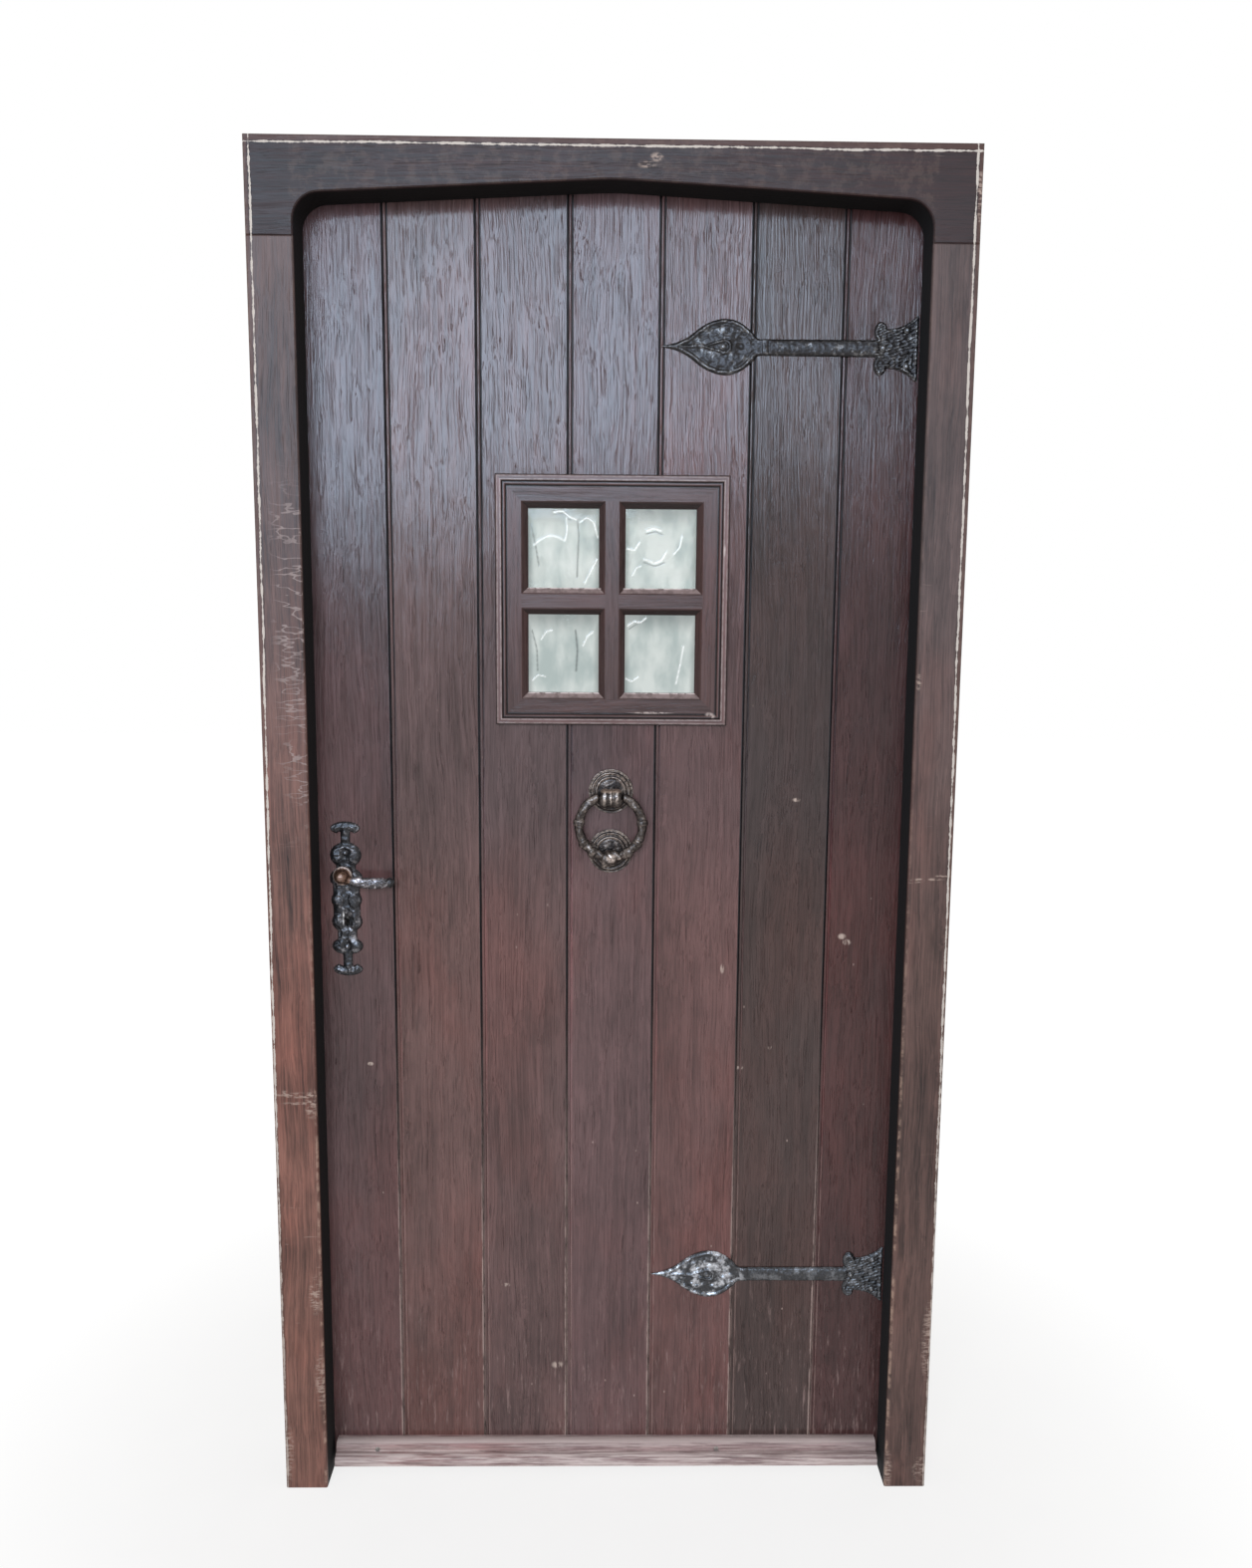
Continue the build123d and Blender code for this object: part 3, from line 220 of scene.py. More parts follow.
# Oak
def oak(name, along, seed, tone, ring, gloss=0.26, extra=None, relief=0.20, contrast=1.0):
    """Stained oak: flat-cut growth rings, fine streaks, open pores and a satin gloss.

    Along is the axis of the grain, and ring the heart's place across the piece and in depth. Extra adds wear, and
    in places painted shade and painted light, to the colour and roughness.
    """
    t = Tree(name)
    shift = (seed * 0.371, seed * 0.713, seed * 1.217)
    stretch = {"X": lambda s: (s, 1, 1), "Z": lambda s: (1, 1, s)}[along]
    turn = {"X": (0, 0.013, 0.008), "Z": (0.016, 0.011, 0)}[along]
    centre = {"X": (0, ring[1], -ring[0]), "Z": (-ring[0], ring[1], 0)}[along]
    slow = t.node("ShaderNodeTexNoise", Vector=t.place(stretch(0.2), shift), Scale=7.0, Detail=3.0)
    quick = t.node("ShaderNodeTexNoise", Vector=t.place(stretch(0.7), shift), Scale=17.0, Detail=2.0)
    bent = t.moved(t.point, t.scaled(slow.outputs["Color"], 0.050))
    wavy = t.moved(bent, t.scaled(quick.outputs["Color"], 0.006))
    rings = t.node(
        "ShaderNodeTexWave",
        {"wave_type": "RINGS", "rings_direction": along, "wave_profile": "SAW"},
        Vector=t.place((1, 1, 1), centre, turn, bent),
        Scale=26.0, Distortion=1.8, Detail=3.0, Detail_Scale=1.6,
    ).outputs["Fac"]
    streak = t.noise(t.place(stretch(0.014), shift, point=wavy), 380.0, 3.0, 0.60)
    band = t.noise(t.place(stretch(0.05), shift, point=wavy), 80.0, 3.0, 0.55)
    broad = t.noise(t.place(stretch(0.45), shift), 9.0, 5.0, 0.60)
    mottle = t.noise(t.place(stretch(0.30), shift), 60.0, 4.0, 0.60)
    pores = t.step(t.noise(t.place(stretch(0.010), shift, point=wavy), 950.0, 2.0, 0.5), 0.56, 0.68)
    pores = t.times(pores, t.step(rings, 0.25, 0.95, 0.35, 1.0))
    shade = t.plus(
        t.step(streak, 0.32, 0.68, -0.17, 0.17), t.step(band, 0.32, 0.68, -0.08, 0.08),
        t.step(broad, 0.30, 0.70, -0.18, 0.18), t.step(mottle, 0.32, 0.68, -0.07, 0.07),
        t.times(t.math("SUBTRACT", rings, 0.5), 0.18),
    )
    shade = t.math("SUBTRACT", t.plus(t.times(shade, contrast), 1.04), t.times(pores, 0.42))
    red = t.step(t.noise(t.place(stretch(0.4), shift), 5.0, 4.0, 0.6), 0.44, 0.66)
    colour = t.scaled(t.tint(red, tone, (1.14, 0.94, 0.90)), shade)
    rough = t.plus(t.step(streak, 0.3, 0.7, gloss - 0.04, gloss + 0.06), t.times(pores, 0.15))
    height = t.plus(t.times(streak, 0.9), t.times(band, 0.5), t.times(rings, 0.6), t.times(pores, -1.1))
    if extra:
        colour, rough = extra(t, colour, rough)
    tops = t.times(t.step(t.upward(), 0.3, 0.6), t.step(t.axes[2], *dull_tops))
    rough = t.plus(rough, t.times(tops, 0.45))
    bump = t.node("ShaderNodeBump", Height=height, Strength=relief, Distance=0.0009)
    return t.finish(Base_Color=colour, Roughness=rough, Normal=bump.outputs[0], Specular_IOR_Level=0.35)


# Wear and painted light on the boards: black joints that turn dusty lower down, painted shade in the quirks beside
# the beads high up and painted light in them lower down, painted shade in the keyhole, pale rubbed patches, specks
# and chips.
# Each chip is its place across and up, and its half width and half height.
leaf_chips = (
    (0.284, 1.104, 0.004, 0.002), (0.360, 0.890, 0.004, 0.003), (0.368, 0.881, 0.004, 0.003),
    (0.175, 0.838, 0.002, 0.005), (0.253, 0.710, 0.003, 0.002), (0.205, 0.677, 0.004, 0.002),
    (-0.081, 0.172, 0.006, 0.004), (-0.164, 0.311, 0.004, 0.002), (-0.374, 0.682, 0.003, 0.002),
)


def board_wear_and_shading(left, right):
    """Wear, painted shade and painted light for a board between two joints, of which the left one has the bead and
    its quirk.
    """

    def wear(t, colour, rough):
        x, y, z = t.axes
        ragged = t.noise(t.place((1, 1, 0.3)), 90.0, 4.0, 0.65)
        front = t.step(y, leaf_front + 0.0016, leaf_front + 0.0006)
        low = t.step(z, 0.85, 0.30)
        colour = t.tint(t.step(z, 0.85, 1.15), colour, (0.76, 0.86, 0.92))
        rub = t.step(t.noise(t.place((1, 1, 0.10), (3.1, 0, 1.7)), 210.0, 4.0, 0.65), 0.54, 0.70)
        rub = t.times(rub, t.step(ragged, 0.40, 0.62), t.step(z, 0.42, 0.08, 0.04, 0.60), front)
        colour = t.mix(rub, colour, (0.30, 0.21, 0.20))
        specks = t.node("ShaderNodeTexVoronoi", {"feature": "F1"}, Vector=t.place((1, 1, 0.6)), Scale=42.0)
        pick = t.node("ShaderNodeSeparateColor", Color=specks.outputs["Color"]).outputs
        speck = t.times(t.step(specks.outputs["Distance"], 0.070, 0.030), t.step(pick[0], 0.80, 0.82))
        speck = t.times(speck, front, t.step(z, 1.3, 0.5, 0.1, 0.6))
        colour = t.mix(speck, colour, (0.42, 0.32, 0.29))
        for at_x, at_z, wide, high in leaf_chips:
            if left - wide < at_x < right + wide:
                chip = t.spot((at_x, leaf_front, at_z), (2 * wide, 0.01, 2 * high))
                chip = t.times(chip, front, t.step(ragged, 0.42, 0.54), 0.8)
                colour = t.mix(chip, colour, (0.55, 0.45, 0.40))
        deep = t.times(t.step(y, leaf_front + 0.0007, leaf_front + 0.0016), t.step(y, -0.008, -0.010))
        quirk = t.times(deep, t.step(x, left + 0.0036, left + 0.0044))
        # Painted shade in the quirk beside the bead, darker above about a metre and near black near the top, and
        # painted light that lightens it lower down.
        colour = t.tint(t.times(quirk, t.step(z, 0.95, 1.35)), colour, (0.45, 0.42, 0.42))
        colour = t.tint(t.times(quirk, t.step(z, 1.30, 1.00)), colour, (1.70, 1.60, 1.60))
        colour = t.mix(t.times(quirk, t.step(z, 1.15, 1.50)), colour, (0.010, 0.007, 0.007))
        gap = t.most(t.step(x, left + 0.0012, left + 0.0004), t.step(x, right - 0.0013, right - 0.0005))
        gap = t.times(gap, t.step(y, 0.0, -0.008))
        colour = t.mix(gap, colour, (0.012, 0.008, 0.008))
        dust = t.times(t.most(gap, t.times(quirk, 0.5)), low, t.step(ragged, 0.34, 0.52, 0.25, 0.95))
        colour = t.mix(dust, colour, (0.34, 0.25, 0.23))
        seam = t.times(t.near(x, right - 0.0010, 0.0016), front, t.step(z, 0.62, 0.30))
        seam = t.times(seam, t.step(ragged, 0.38, 0.56), 0.75)
        colour = t.mix(seam, colour, (0.36, 0.27, 0.25))
        # Painted shade: the walls of the keyhole are painted near black.
        if left < keyhole_x < right:
            bore = t.spot((keyhole_x, leaf_front, keyhole_z), (0.020, 0.080, 0.040))
            bore = t.times(bore, t.step(y, leaf_front + 0.0002, leaf_front + 0.0010))
            colour = t.mix(bore, colour, (0.002, 0.002, 0.002))
        groove = t.most(quirk, gap)
        return colour, t.plus(rough, t.times(t.most(groove, rub), 0.35))

    return wear


board_tones = {
    "board_1": (0.089, 0.053, 0.055), "board_2": (0.120, 0.067, 0.063), "board_3": (0.106, 0.063, 0.062),
    "board_4_lower": (0.110, 0.065, 0.067), "board_4_upper": (0.110, 0.065, 0.067),
    "board_5": (0.122, 0.064, 0.062), "board_6": (0.056, 0.036, 0.034), "board_7": (0.062, 0.028, 0.028),
}
tongue = 0.007
for index, (name, tone) in enumerate(board_tones.items()):
    low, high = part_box(name)
    heart = ((low.x + high.x) / 2 + 0.02 * (-1) ** index, 0.09)
    right = high.x if name == "board_7" else high.x - tongue
    wear = board_wear_and_shading(low.x, right)
    dress(oak("oak_" + name, "Z", index + 1, tone, heart, gloss=0.17, extra=wear, relief=0.65), name)


# Wear and painted shade on the frame: a line of old wall paint, ray fleck, painted shade on the reveals, worn
# arrises and scuffs.
# The line lies a little further out at the foot than at the head, and outside it the wood is redder.
line_foot, line_head, line_top = 0.5080, 0.5020, 2.0200
outside_from, outside_full = 0.5035, 0.5055
outside_top_from, outside_top_full = 2.0210, 2.0230
frame_scuffs = (
    (-0.500, 0.658, 0.008, 0.003), (-0.472, 0.654, 0.020, 0.003), (-0.472, 0.641, 0.016, 0.002),
    (-0.454, 0.640, 0.006, 0.014), (-0.456, 0.330, 0.006, 0.020), (-0.450, 0.186, 0.006, 0.030),
    (0.450, 0.991, 0.010, 0.002), (0.472, 0.994, 0.016, 0.0014), (0.494, 0.999, 0.010, 0.0012),
    (0.448, 1.288, 0.003, 0.008), (0.058, 2.006, 0.006, 0.004), (0.045, 1.996, 0.008, 0.003),
    (0.507, 1.976, 0.004, 0.012), (0.508, 1.950, 0.003, 0.020), (0.505, 0.250, 0.006, 0.040),
    (-0.505, 0.060, 0.006, 0.030), (0.449, 0.030, 0.005, 0.020), (0.502, 0.030, 0.008, 0.014),
)


def frame_wear_and_shade(t, colour, rough):
    """Wear, and painted shade on the reveals, for the head and both jambs."""
    x, y, z = t.axes
    side = t.math("ABSOLUTE", x)
    front = t.step(y, frame_front + 0.0030, frame_front + 0.0012)
    ragged = t.noise(t.point, 55.0, 5.0, 0.7)
    drift = t.times(t.math("SUBTRACT", t.noise(t.point, 5.0, 4.0), 0.5), 0.006)
    edge = t.plus(side, drift)
    level = t.plus(z, drift)
    colour = t.tint(t.times(t.step(z, 1.70, 0.80), t.step(x, -0.40, -0.46)), colour, (2.00, 1.42, 1.16))
    colour = t.tint(t.times(t.step(z, 1.40, 0.80), t.step(x, 0.40, 0.46)), colour, (1.25, 1.05, 0.95))
    fleck = t.noise(t.place((0.35, 1, 1.2), (0, 0, 0.7), (0, -0.45, 0)), 62.0, 2.0, 0.5)
    fleck = t.near(fleck, 0.5, 0.026)
    zone = t.times(t.step(z, 1.02, 1.14), t.step(z, 1.62, 1.48), t.step(x, -0.496, -0.470))
    zone = t.times(zone, t.step(x, 0, -0.1), front)
    zone = t.times(zone, t.step(t.noise(t.point, 12.0, 2.0), 0.36, 0.54), 0.75)
    colour = t.mix(t.times(fleck, zone), colour, (0.30, 0.24, 0.23))
    outside = t.step(edge, outside_from, outside_full)
    outside = t.most(outside, t.step(level, outside_top_from, outside_top_full))
    colour = t.mix(t.times(outside, 0.60), colour, (0.085, 0.040, 0.030))
    away = t.apart(edge, t.step(z, 0.1, 1.9, line_foot, line_head))
    top_away = t.plus(t.apart(level, line_top), t.step(z, 2.010, 2.014, 1.0, 0.0))
    away = t.math("MINIMUM", away, top_away)
    wide = t.step(ragged, 0.34, 0.62, 0.0002, 0.0019)
    line = t.times(t.math("LESS_THAN", away, wide), front, t.step(z, 0.10, 1.0, 0.45, 0.9))
    arris = t.step(side, opening_half + 0.006, opening_half + 0.001)
    arris = t.times(arris, t.step(y, frame_front + 0.006, frame_front))
    worn = t.times(arris, t.step(ragged, 0.46, 0.62), t.step(z, 1.25, 0.3, 0.06, 0.75))
    corner = t.times(t.step(side, 0.5055, 0.5090), t.step(ragged, 0.46, 0.60), t.step(z, 1.2, 0.3, 0.15, 0.7))
    corner = t.times(corner, t.step(y, frame_front + 0.012, frame_front + 0.004))
    colour = t.mix(t.most(worn, corner), colour, (0.42, 0.29, 0.23))
    lines = t.noise(t.place((0.10, 1, 1), (0, 0, 3.3), (0, 0.6, 0)), 240.0, 2.0, 0.5)
    lines = t.times(t.step(lines, 0.72, 0.76), t.step(t.noise(t.point, 7.0, 2.0), 0.48, 0.62), front)
    colour = t.mix(t.times(lines, t.step(z, 1.3, 0.4, 0.15, 0.55)), colour, (0.44, 0.33, 0.29))
    scrape = t.noise(t.place((0.5, 1, 1.6)), 160.0, 5.0, 0.7)
    for at_x, at_z, wide, high in frame_scuffs:
        mark = t.times(t.spot((at_x, frame_front, at_z), (2 * wide, 0.02, 2 * high)), front)
        colour = t.mix(t.times(mark, t.step(scrape, 0.46, 0.60), 0.65), colour, (0.46, 0.36, 0.31))
    colour = t.mix(line, colour, (0.62, 0.58, 0.54))
    # Painted shade: the reveals, which face into the opening, are painted near black.
    reveal = t.step(y, frame_front + 0.003, frame_front + 0.010)
    reveal = t.times(reveal, t.step(y, leaf_front + 0.004, leaf_front))
    reveal = t.times(reveal, t.step(side, frame_half - 0.004, frame_half - 0.010), t.step(z, 2.012, 2.006))
    colour = t.mix(reveal, colour, (0.002, 0.001, 0.001))
    return colour, t.plus(rough, t.times(t.most(line, reveal), 0.35))


frame_tones = {
    "jamb_lock_side": ((0.076, 0.052, 0.050), "Z", (-0.40, 0.10)),
    "jamb_hinge_side": ((0.073, 0.051, 0.049), "Z", (0.55, 0.12)),
    "frame_head": ((0.020, 0.010, 0.010), "X", (1.99, 0.10)),
}
for index, (name, (tone, along, ring)) in enumerate(frame_tones.items()):
    made = oak("oak_" + name, along, 20 + index, tone, ring, gloss=0.50, extra=frame_wear_and_shade, contrast=1.7)
    dress(made, name)


# Window, framing and weatherboard oak
window = (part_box("window_glass")[0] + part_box("window_glass")[1]) / 2
# A pane's near and far corner, across and up from the window's middle
pane_low, pane_high = Vector((0.0198, 0.0198)), Vector((0.1255, 0.1365))
sash_half = (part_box("sash_right")[1].x - window.x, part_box("sash_top")[1].z - window.z)
window_chips = (
    (0.148, window.z - 0.168, 0.004, 0.002), (0.152, window.z - 0.170, 0.003, 0.002),
    (0.166, window.z + 0.075, 0.0012, 0.006), (0.060, window.z - 0.166, 0.020, 0.0010),
)


def window_wear_and_shading(t, colour, rough):
    """Wear and painted light for sash, bars and mouldings: painted shade in the recesses, darkest on faces that
    look down, painted light on ledges that look up with a painted highlight along their lips, a painted sheen on
    the raised moulding, painted shade in dark lines between the mouldings, painted highlights along their edges,
    and chips.
    """
    x, y, z = t.axes
    ragged = t.noise(t.point, 120.0, 4.0, 0.65)
    up = t.upward()
    # Painted shade in the recesses, darkest on faces that look down, and painted light on ledges that look up.
    deep = t.times(t.step(y, leaf_front + 0.0002, leaf_front + 0.003), t.step(y, 0.004, -0.002))
    ledge = t.times(deep, t.step(up, 0.2, 0.5))
    colour = t.tint(deep, colour, (0.66, 0.62, 0.62))
    colour = t.tint(t.times(deep, t.step(up, -0.2, -0.5)), colour, (0.42, 0.38, 0.38))
    colour = t.mix(t.times(ledge, t.step(ragged, 0.36, 0.62, 0.50, 0.90)), colour, (0.32, 0.25, 0.25))
    # A painted highlight along the lip of each ledge.
    lip_highlight = t.times(ledge, t.near(y, leaf_front + 0.0085, 0.0016), t.step(ragged, 0.36, 0.56))
    colour = t.mix(t.times(lip_highlight, 0.9), colour, (0.74, 0.66, 0.66))
    # A painted sheen: the raised moulding is painted lighter and bluer.
    raised = t.step(y, leaf_front - 0.0042, leaf_front - 0.0050)
    colour = t.tint(raised, colour, (1.80, 1.90, 1.96))
    off_x = t.math("SUBTRACT", t.apart(x, window.x), sash_half[0])
    off_z = t.math("SUBTRACT", t.apart(z, window.z), sash_half[1])
    off = t.most(off_x, off_z)
    # Painted shade in dark lines at the inner corners between the moulding's steps.
    lines = t.most(t.near(off, 0.0032, 0.0022), t.near(off, -0.0022, 0.0018), t.near(off, 0.0142, 0.0022))
    colour = t.mix(t.times(lines, 0.92), colour, (0.006, 0.004, 0.004))
    # Painted highlights along the moulding's edges.
    bright = t.most(t.near(off, 0.0060, 0.0016), t.times(t.near(off, 0.0115, 0.0018), 0.8))
    colour = t.mix(t.times(bright, t.step(ragged, 0.34, 0.60, 0.35, 0.90)), colour, (0.30, 0.25, 0.25))
    for at_x, at_z, wide, high in window_chips:
        chip = t.spot((at_x, leaf_front, at_z), (2 * wide, 0.03, 2 * high))
        colour = t.mix(t.times(chip, t.step(ragged, 0.36, 0.52), 0.8), colour, (0.52, 0.44, 0.42))
    return colour, rough


def weathered(t, colour, rough):
    """Wear for the weatherboard: bare streaks, a chalky nose and a worn top edge."""
    x, y, z = t.axes
    low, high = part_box("weatherboard")
    patch = t.step(t.noise(t.place((0.05, 1, 1)), 160.0, 5.0, 0.68), 0.42, 0.58)
    colour = t.mix(t.times(patch, 0.60), colour, (0.54, 0.45, 0.44))
    streaks = t.step(t.noise(t.place((0.03, 1, 1)), 600.0, 3.0, 0.6), 0.48, 0.60)
    colour = t.mix(t.times(streaks, 0.60), colour, (0.130, 0.080, 0.078))
    nose = t.step(z, low.z + 0.020, low.z + 0.014)
    chalky = t.step(t.noise(t.place((0.03, 1, 1)), 330.0, 4.0, 0.65), 0.46, 0.58)
    colour = t.mix(t.times(nose, chalky, 0.80), colour, (0.74, 0.65, 0.64))
    top = t.step(z, high.z - 0.0040, high.z - 0.0025)
    top = t.times(top, t.step(y, leaf_front - 0.003, leaf_front - 0.005), 0.7)
    colour = t.mix(top, colour, (0.62, 0.53, 0.52))
    ends = t.step(t.math("ABSOLUTE", x), 0.33, 0.43)
    colour = t.mix(t.times(ends, 0.30), colour, (0.26, 0.22, 0.22))
    return colour, t.plus(rough, 0.22)


framing_tone, framing_gloss = (0.085, 0.050, 0.045), 0.34
window_tone, window_gloss = (0.062, 0.036, 0.035), 0.28
weathered_tone = (0.335, 0.245, 0.248)
uprights = ("stile_lock_side", "stile_hinge_side", "window_stud_left", "window_stud_right")
for index, name in enumerate(uprights):
    heart = (0.45 * (-1) ** (index + 1), -0.02)
    dress(oak("oak_" + name, "Z", 40 + index, framing_tone, heart, framing_gloss), name)
for index, name in enumerate(("top_rail", "window_rail", "lock_rail", "bottom_rail")):
    low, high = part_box(name)
    heart = ((low.z + high.z) / 2, -0.05)
    dress(oak("oak_" + name, "X", 50 + index, framing_tone, heart, framing_gloss), name)
dress(
    oak("oak_window_upright", "Z", 60, window_tone, (0.1, 0.08), window_gloss, window_wear_and_shading),
    "sash_left", "sash_right", "glazing_bar_upright", "glazing_beads_upright",
    "window_moulding_left", "window_moulding_right",
)
dress(
    oak("oak_window_level", "X", 61, window_tone, (1.4, 0.08), window_gloss, window_wear_and_shading),
    "sash_top", "sash_bottom", "glazing_bar_cross", "glazing_beads_level",
    "window_moulding_top", "window_moulding_bottom",
)
dress(oak("oak_weatherboard", "X", 70, weathered_tone, (0.03, 0.02), 0.40, weathered), "weatherboard")


# Steel of hinges and lock
def steel():
    """Drawn steel with rust spots."""
    t = Tree("plain_steel")
    lines = t.noise(t.place((1, 1, 0.02)), 1800.0, 2.0)
    spots = t.step(t.noise(t.point, 150.0, 5.0, 0.7), 0.50, 0.68)
    colour = t.mix(t.step(lines, 0.35, 0.65), (0.34, 0.33, 0.31), (0.46, 0.45, 0.43))
    colour = t.mix(t.times(spots, 0.5), colour, (0.16, 0.09, 0.05))
    rough = t.plus(t.step(lines, 0.3, 0.7, 0.30, 0.42), t.times(spots, 0.25))
    return t.finish(Base_Color=colour, Roughness=rough, Metallic=0.9)


dress(steel(), *(s["node"] for s in frame["record"]["subparts"] if s["material_slot"] == "steel"))


# Iron
def iron(name, dark, worn, rust, shine, marks=None, bright_end=None, cover=0.52, patch=85.0):
    """Black iron: painted shade, near black, in the hollows; bare and brighter on the high points, with brown
    specks.

    Marks adds to the colour, and right of bright_end less of the iron is bare.
    """
    t = Tree(name)
    blotch = t.noise(t.point, patch, 5.0, 0.68)
    fine = t.noise(t.point, 420.0, 4.0, 0.6)
    high = t.node("ShaderNodeNewGeometry").outputs["Pointiness"]
    bare = t.times(t.step(high, 0.505, 0.575), t.step(blotch, 0.38, 0.60))
    bare = t.most(bare, t.times(t.step(blotch, cover, cover + 0.16), shine))
    if bright_end:
        bare = t.times(bare, t.step(t.axes[0], bright_end + 0.02, bright_end, 0.20, 1.0))
    colour = t.mix(t.step(fine, 0.3, 0.7), tuple(0.6 * v for v in dark), dark)
    rusty = t.times(t.step(t.noise(t.point, 160.0, 4.0, 0.7), 0.54, 0.68), 0.55)
    colour = t.mix(rusty, colour, rust)
    colour = t.mix(bare, colour, worn)
    # Painted shade: the hollows are painted near black.
    colour = t.mix(t.step(high, 0.488, 0.440, 0.0, 0.85), colour, black)
    if marks:
        colour = marks(t, colour)
    rough = t.math("SUBTRACT", t.step(fine, 0.3, 0.7, 0.28, 0.44), t.times(bare, 0.08))
    bump = t.node("ShaderNodeBump", Height=fine, Strength=0.5, Distance=0.0008)
    return t.finish(Base_Color=colour, Roughness=rough, Metallic=0.75, Normal=bump.outputs[0])


def boss_marks(t, colour):
    """The lever: a bright rim and a brown dome with a painted highlight in its middle at its boss, on either side
    of the leaf, and a dark tip.
    """
    x, y, _ = t.axes
    out = t.apart(y, leaf_middle)
    radius = t.length(t.place((1, 0, 1), (-spindle.x, 0, -spindle.z)))
    boss = t.step(radius, 0.0155, 0.0145)
    speckle = t.step(t.noise(t.point, 330.0, 4.0, 0.65), 0.36, 0.64)
    rim = t.times(boss, t.step(out, 0.0475, 0.0490))
    colour = t.mix(rim, colour, (0.58, 0.50, 0.47))
    dome = t.times(boss, t.step(out, 0.0520, 0.0535))
    brown = t.mix(speckle, (0.040, 0.020, 0.013), (0.200, 0.115, 0.080))
    # A painted highlight in the middle of the dome.
    brown = t.mix(t.step(radius, 0.0070, 0.0010, 0.0, 0.45), brown, (0.40, 0.28, 0.24))
    colour = t.mix(dome, colour, brown)
    tip = t.step(x, spindle.x + 0.066, spindle.x + 0.070, 0.0, 0.85)
    return t.mix(tip, colour, (0.016, 0.015, 0.016))


def key_marks(t, colour):
    """A bright scratch where the key has missed its hole."""
    line = t.spot((spindle.x - 0.0046, leaf_front, spindle.z - 0.0715), (0.0018, 0.03, 0.014))
    return t.mix(line, colour, (0.78, 0.78, 0.79))


def knocker_marks(t, colour):
    """Painted highlights on the ridges round the two discs, stronger on their upper side, on the eye, along the
    front of the ring and on the ball, and a tan band on the eye's cap.
    """
    x, y, z = t.axes
    ragged = t.step(t.noise(t.point, 260.0, 4.0, 0.65), 0.38, 0.60, 0.10, 1.0)
    # Painted highlights on the disc ridges, stronger on the upper side, where the light falls.
    for centre in disc_centres:
        radius = t.length(t.place((1, 0, 1), (0, 0, -centre)))
        flat = t.step(y, disc_face, disc_face + 0.001)
        ridges = t.most(*(t.near(radius, at, 0.0024) for at in disc_ridges))
        upper = t.step(z, centre - 0.016, centre + 0.010, 0.12, 0.85)
        colour = t.mix(t.times(ridges, ragged, flat, upper), colour, (0.24, 0.185, 0.155))
    # Painted highlights: a line down the middle of the eye and on its two bulges.
    ahead = t.step(y, knocker_pivot.y - 0.005, knocker_pivot.y - 0.009)
    eye = t.times(ahead, t.near(z, knocker_pivot.z + 0.003, 0.014))
    side = t.math("ABSOLUTE", x)
    lines = t.most(t.near(x, 0.0, 0.0018), t.times(t.near(side, 0.0095, 0.0030), 0.6))
    colour = t.mix(t.times(lines, eye, ragged), colour, (0.66, 0.55, 0.49))
    cap = t.times(t.near(z, knocker_pivot.z + 0.0125, 0.0045), t.step(side, 0.0165, 0.0150))
    cap = t.times(cap, t.step(y, leaf_front - 0.011, leaf_front - 0.013))
    colour = t.mix(t.times(cap, 0.7), colour, (0.42, 0.32, 0.26))
    # A painted highlight along the front of the ring.
    sheen = t.step(y, knocker_pivot.y - 0.0035, knocker_pivot.y - 0.0062)
    sheen = t.times(sheen, t.step(z, disc_centres[0], disc_centres[0] - 0.01))
    colour = t.mix(t.times(sheen, ragged, 0.12), colour, (0.46, 0.38, 0.34))
    # A painted highlight on the front of the ball.
    ball = t.spot((0.001, knocker_pivot.y - 0.012, ring_middle - ring_radius), (0.010, 0.010, 0.009))
    return t.mix(t.times(ball, ragged), colour, (0.62, 0.52, 0.47))


strap_iron = iron(
    "strap_iron", dark=(0.055, 0.054, 0.056), worn=(0.26, 0.26, 0.27), rust=(0.060, 0.044, 0.036), shine=0.35,
)
upper_iron = iron(
    "upper_strap_iron",
    dark=(0.032, 0.030, 0.032), worn=(0.26, 0.25, 0.25), rust=(0.045, 0.036, 0.032), shine=0.50,
)
lower_iron = iron(
    "lower_strap_iron",
    dark=(0.064, 0.065, 0.070), worn=(0.62, 0.63, 0.67), rust=(0.060, 0.052, 0.048), shine=0.9,
    bright_end=0.205, cover=0.47, patch=48.0,
)
plate_iron = iron(
    "plate_iron",
    dark=(0.042, 0.042, 0.046), worn=(0.44, 0.42, 0.44), rust=(0.055, 0.047, 0.046), shine=0.55,
    marks=key_marks,
)
lever_iron = iron(
    "lever_iron",
    dark=(0.085, 0.078, 0.082), worn=(0.66, 0.62, 0.65), rust=(0.080, 0.060, 0.054), shine=0.85,
    marks=boss_marks, cover=0.48,
)
knocker_iron = iron(
    "knocker_iron",
    dark=(0.022, 0.017, 0.016), worn=(0.40, 0.33, 0.29), rust=(0.055, 0.037, 0.030), shine=0.40,
    marks=knocker_marks, cover=0.50,
)
dress(strap_iron, "strap_nails")
dress(upper_iron, "strap_upper")
dress(lower_iron, "strap_lower")
dress(plate_iron, "handle_plate_outside", "handle_plate_inside", "handle_screws")
dress(lever_iron, "lever_outside", "lever_inside")
dress(knocker_iron, "knocker_plate", "knocker_strike", "knocker_ring", "knocker_nuts")


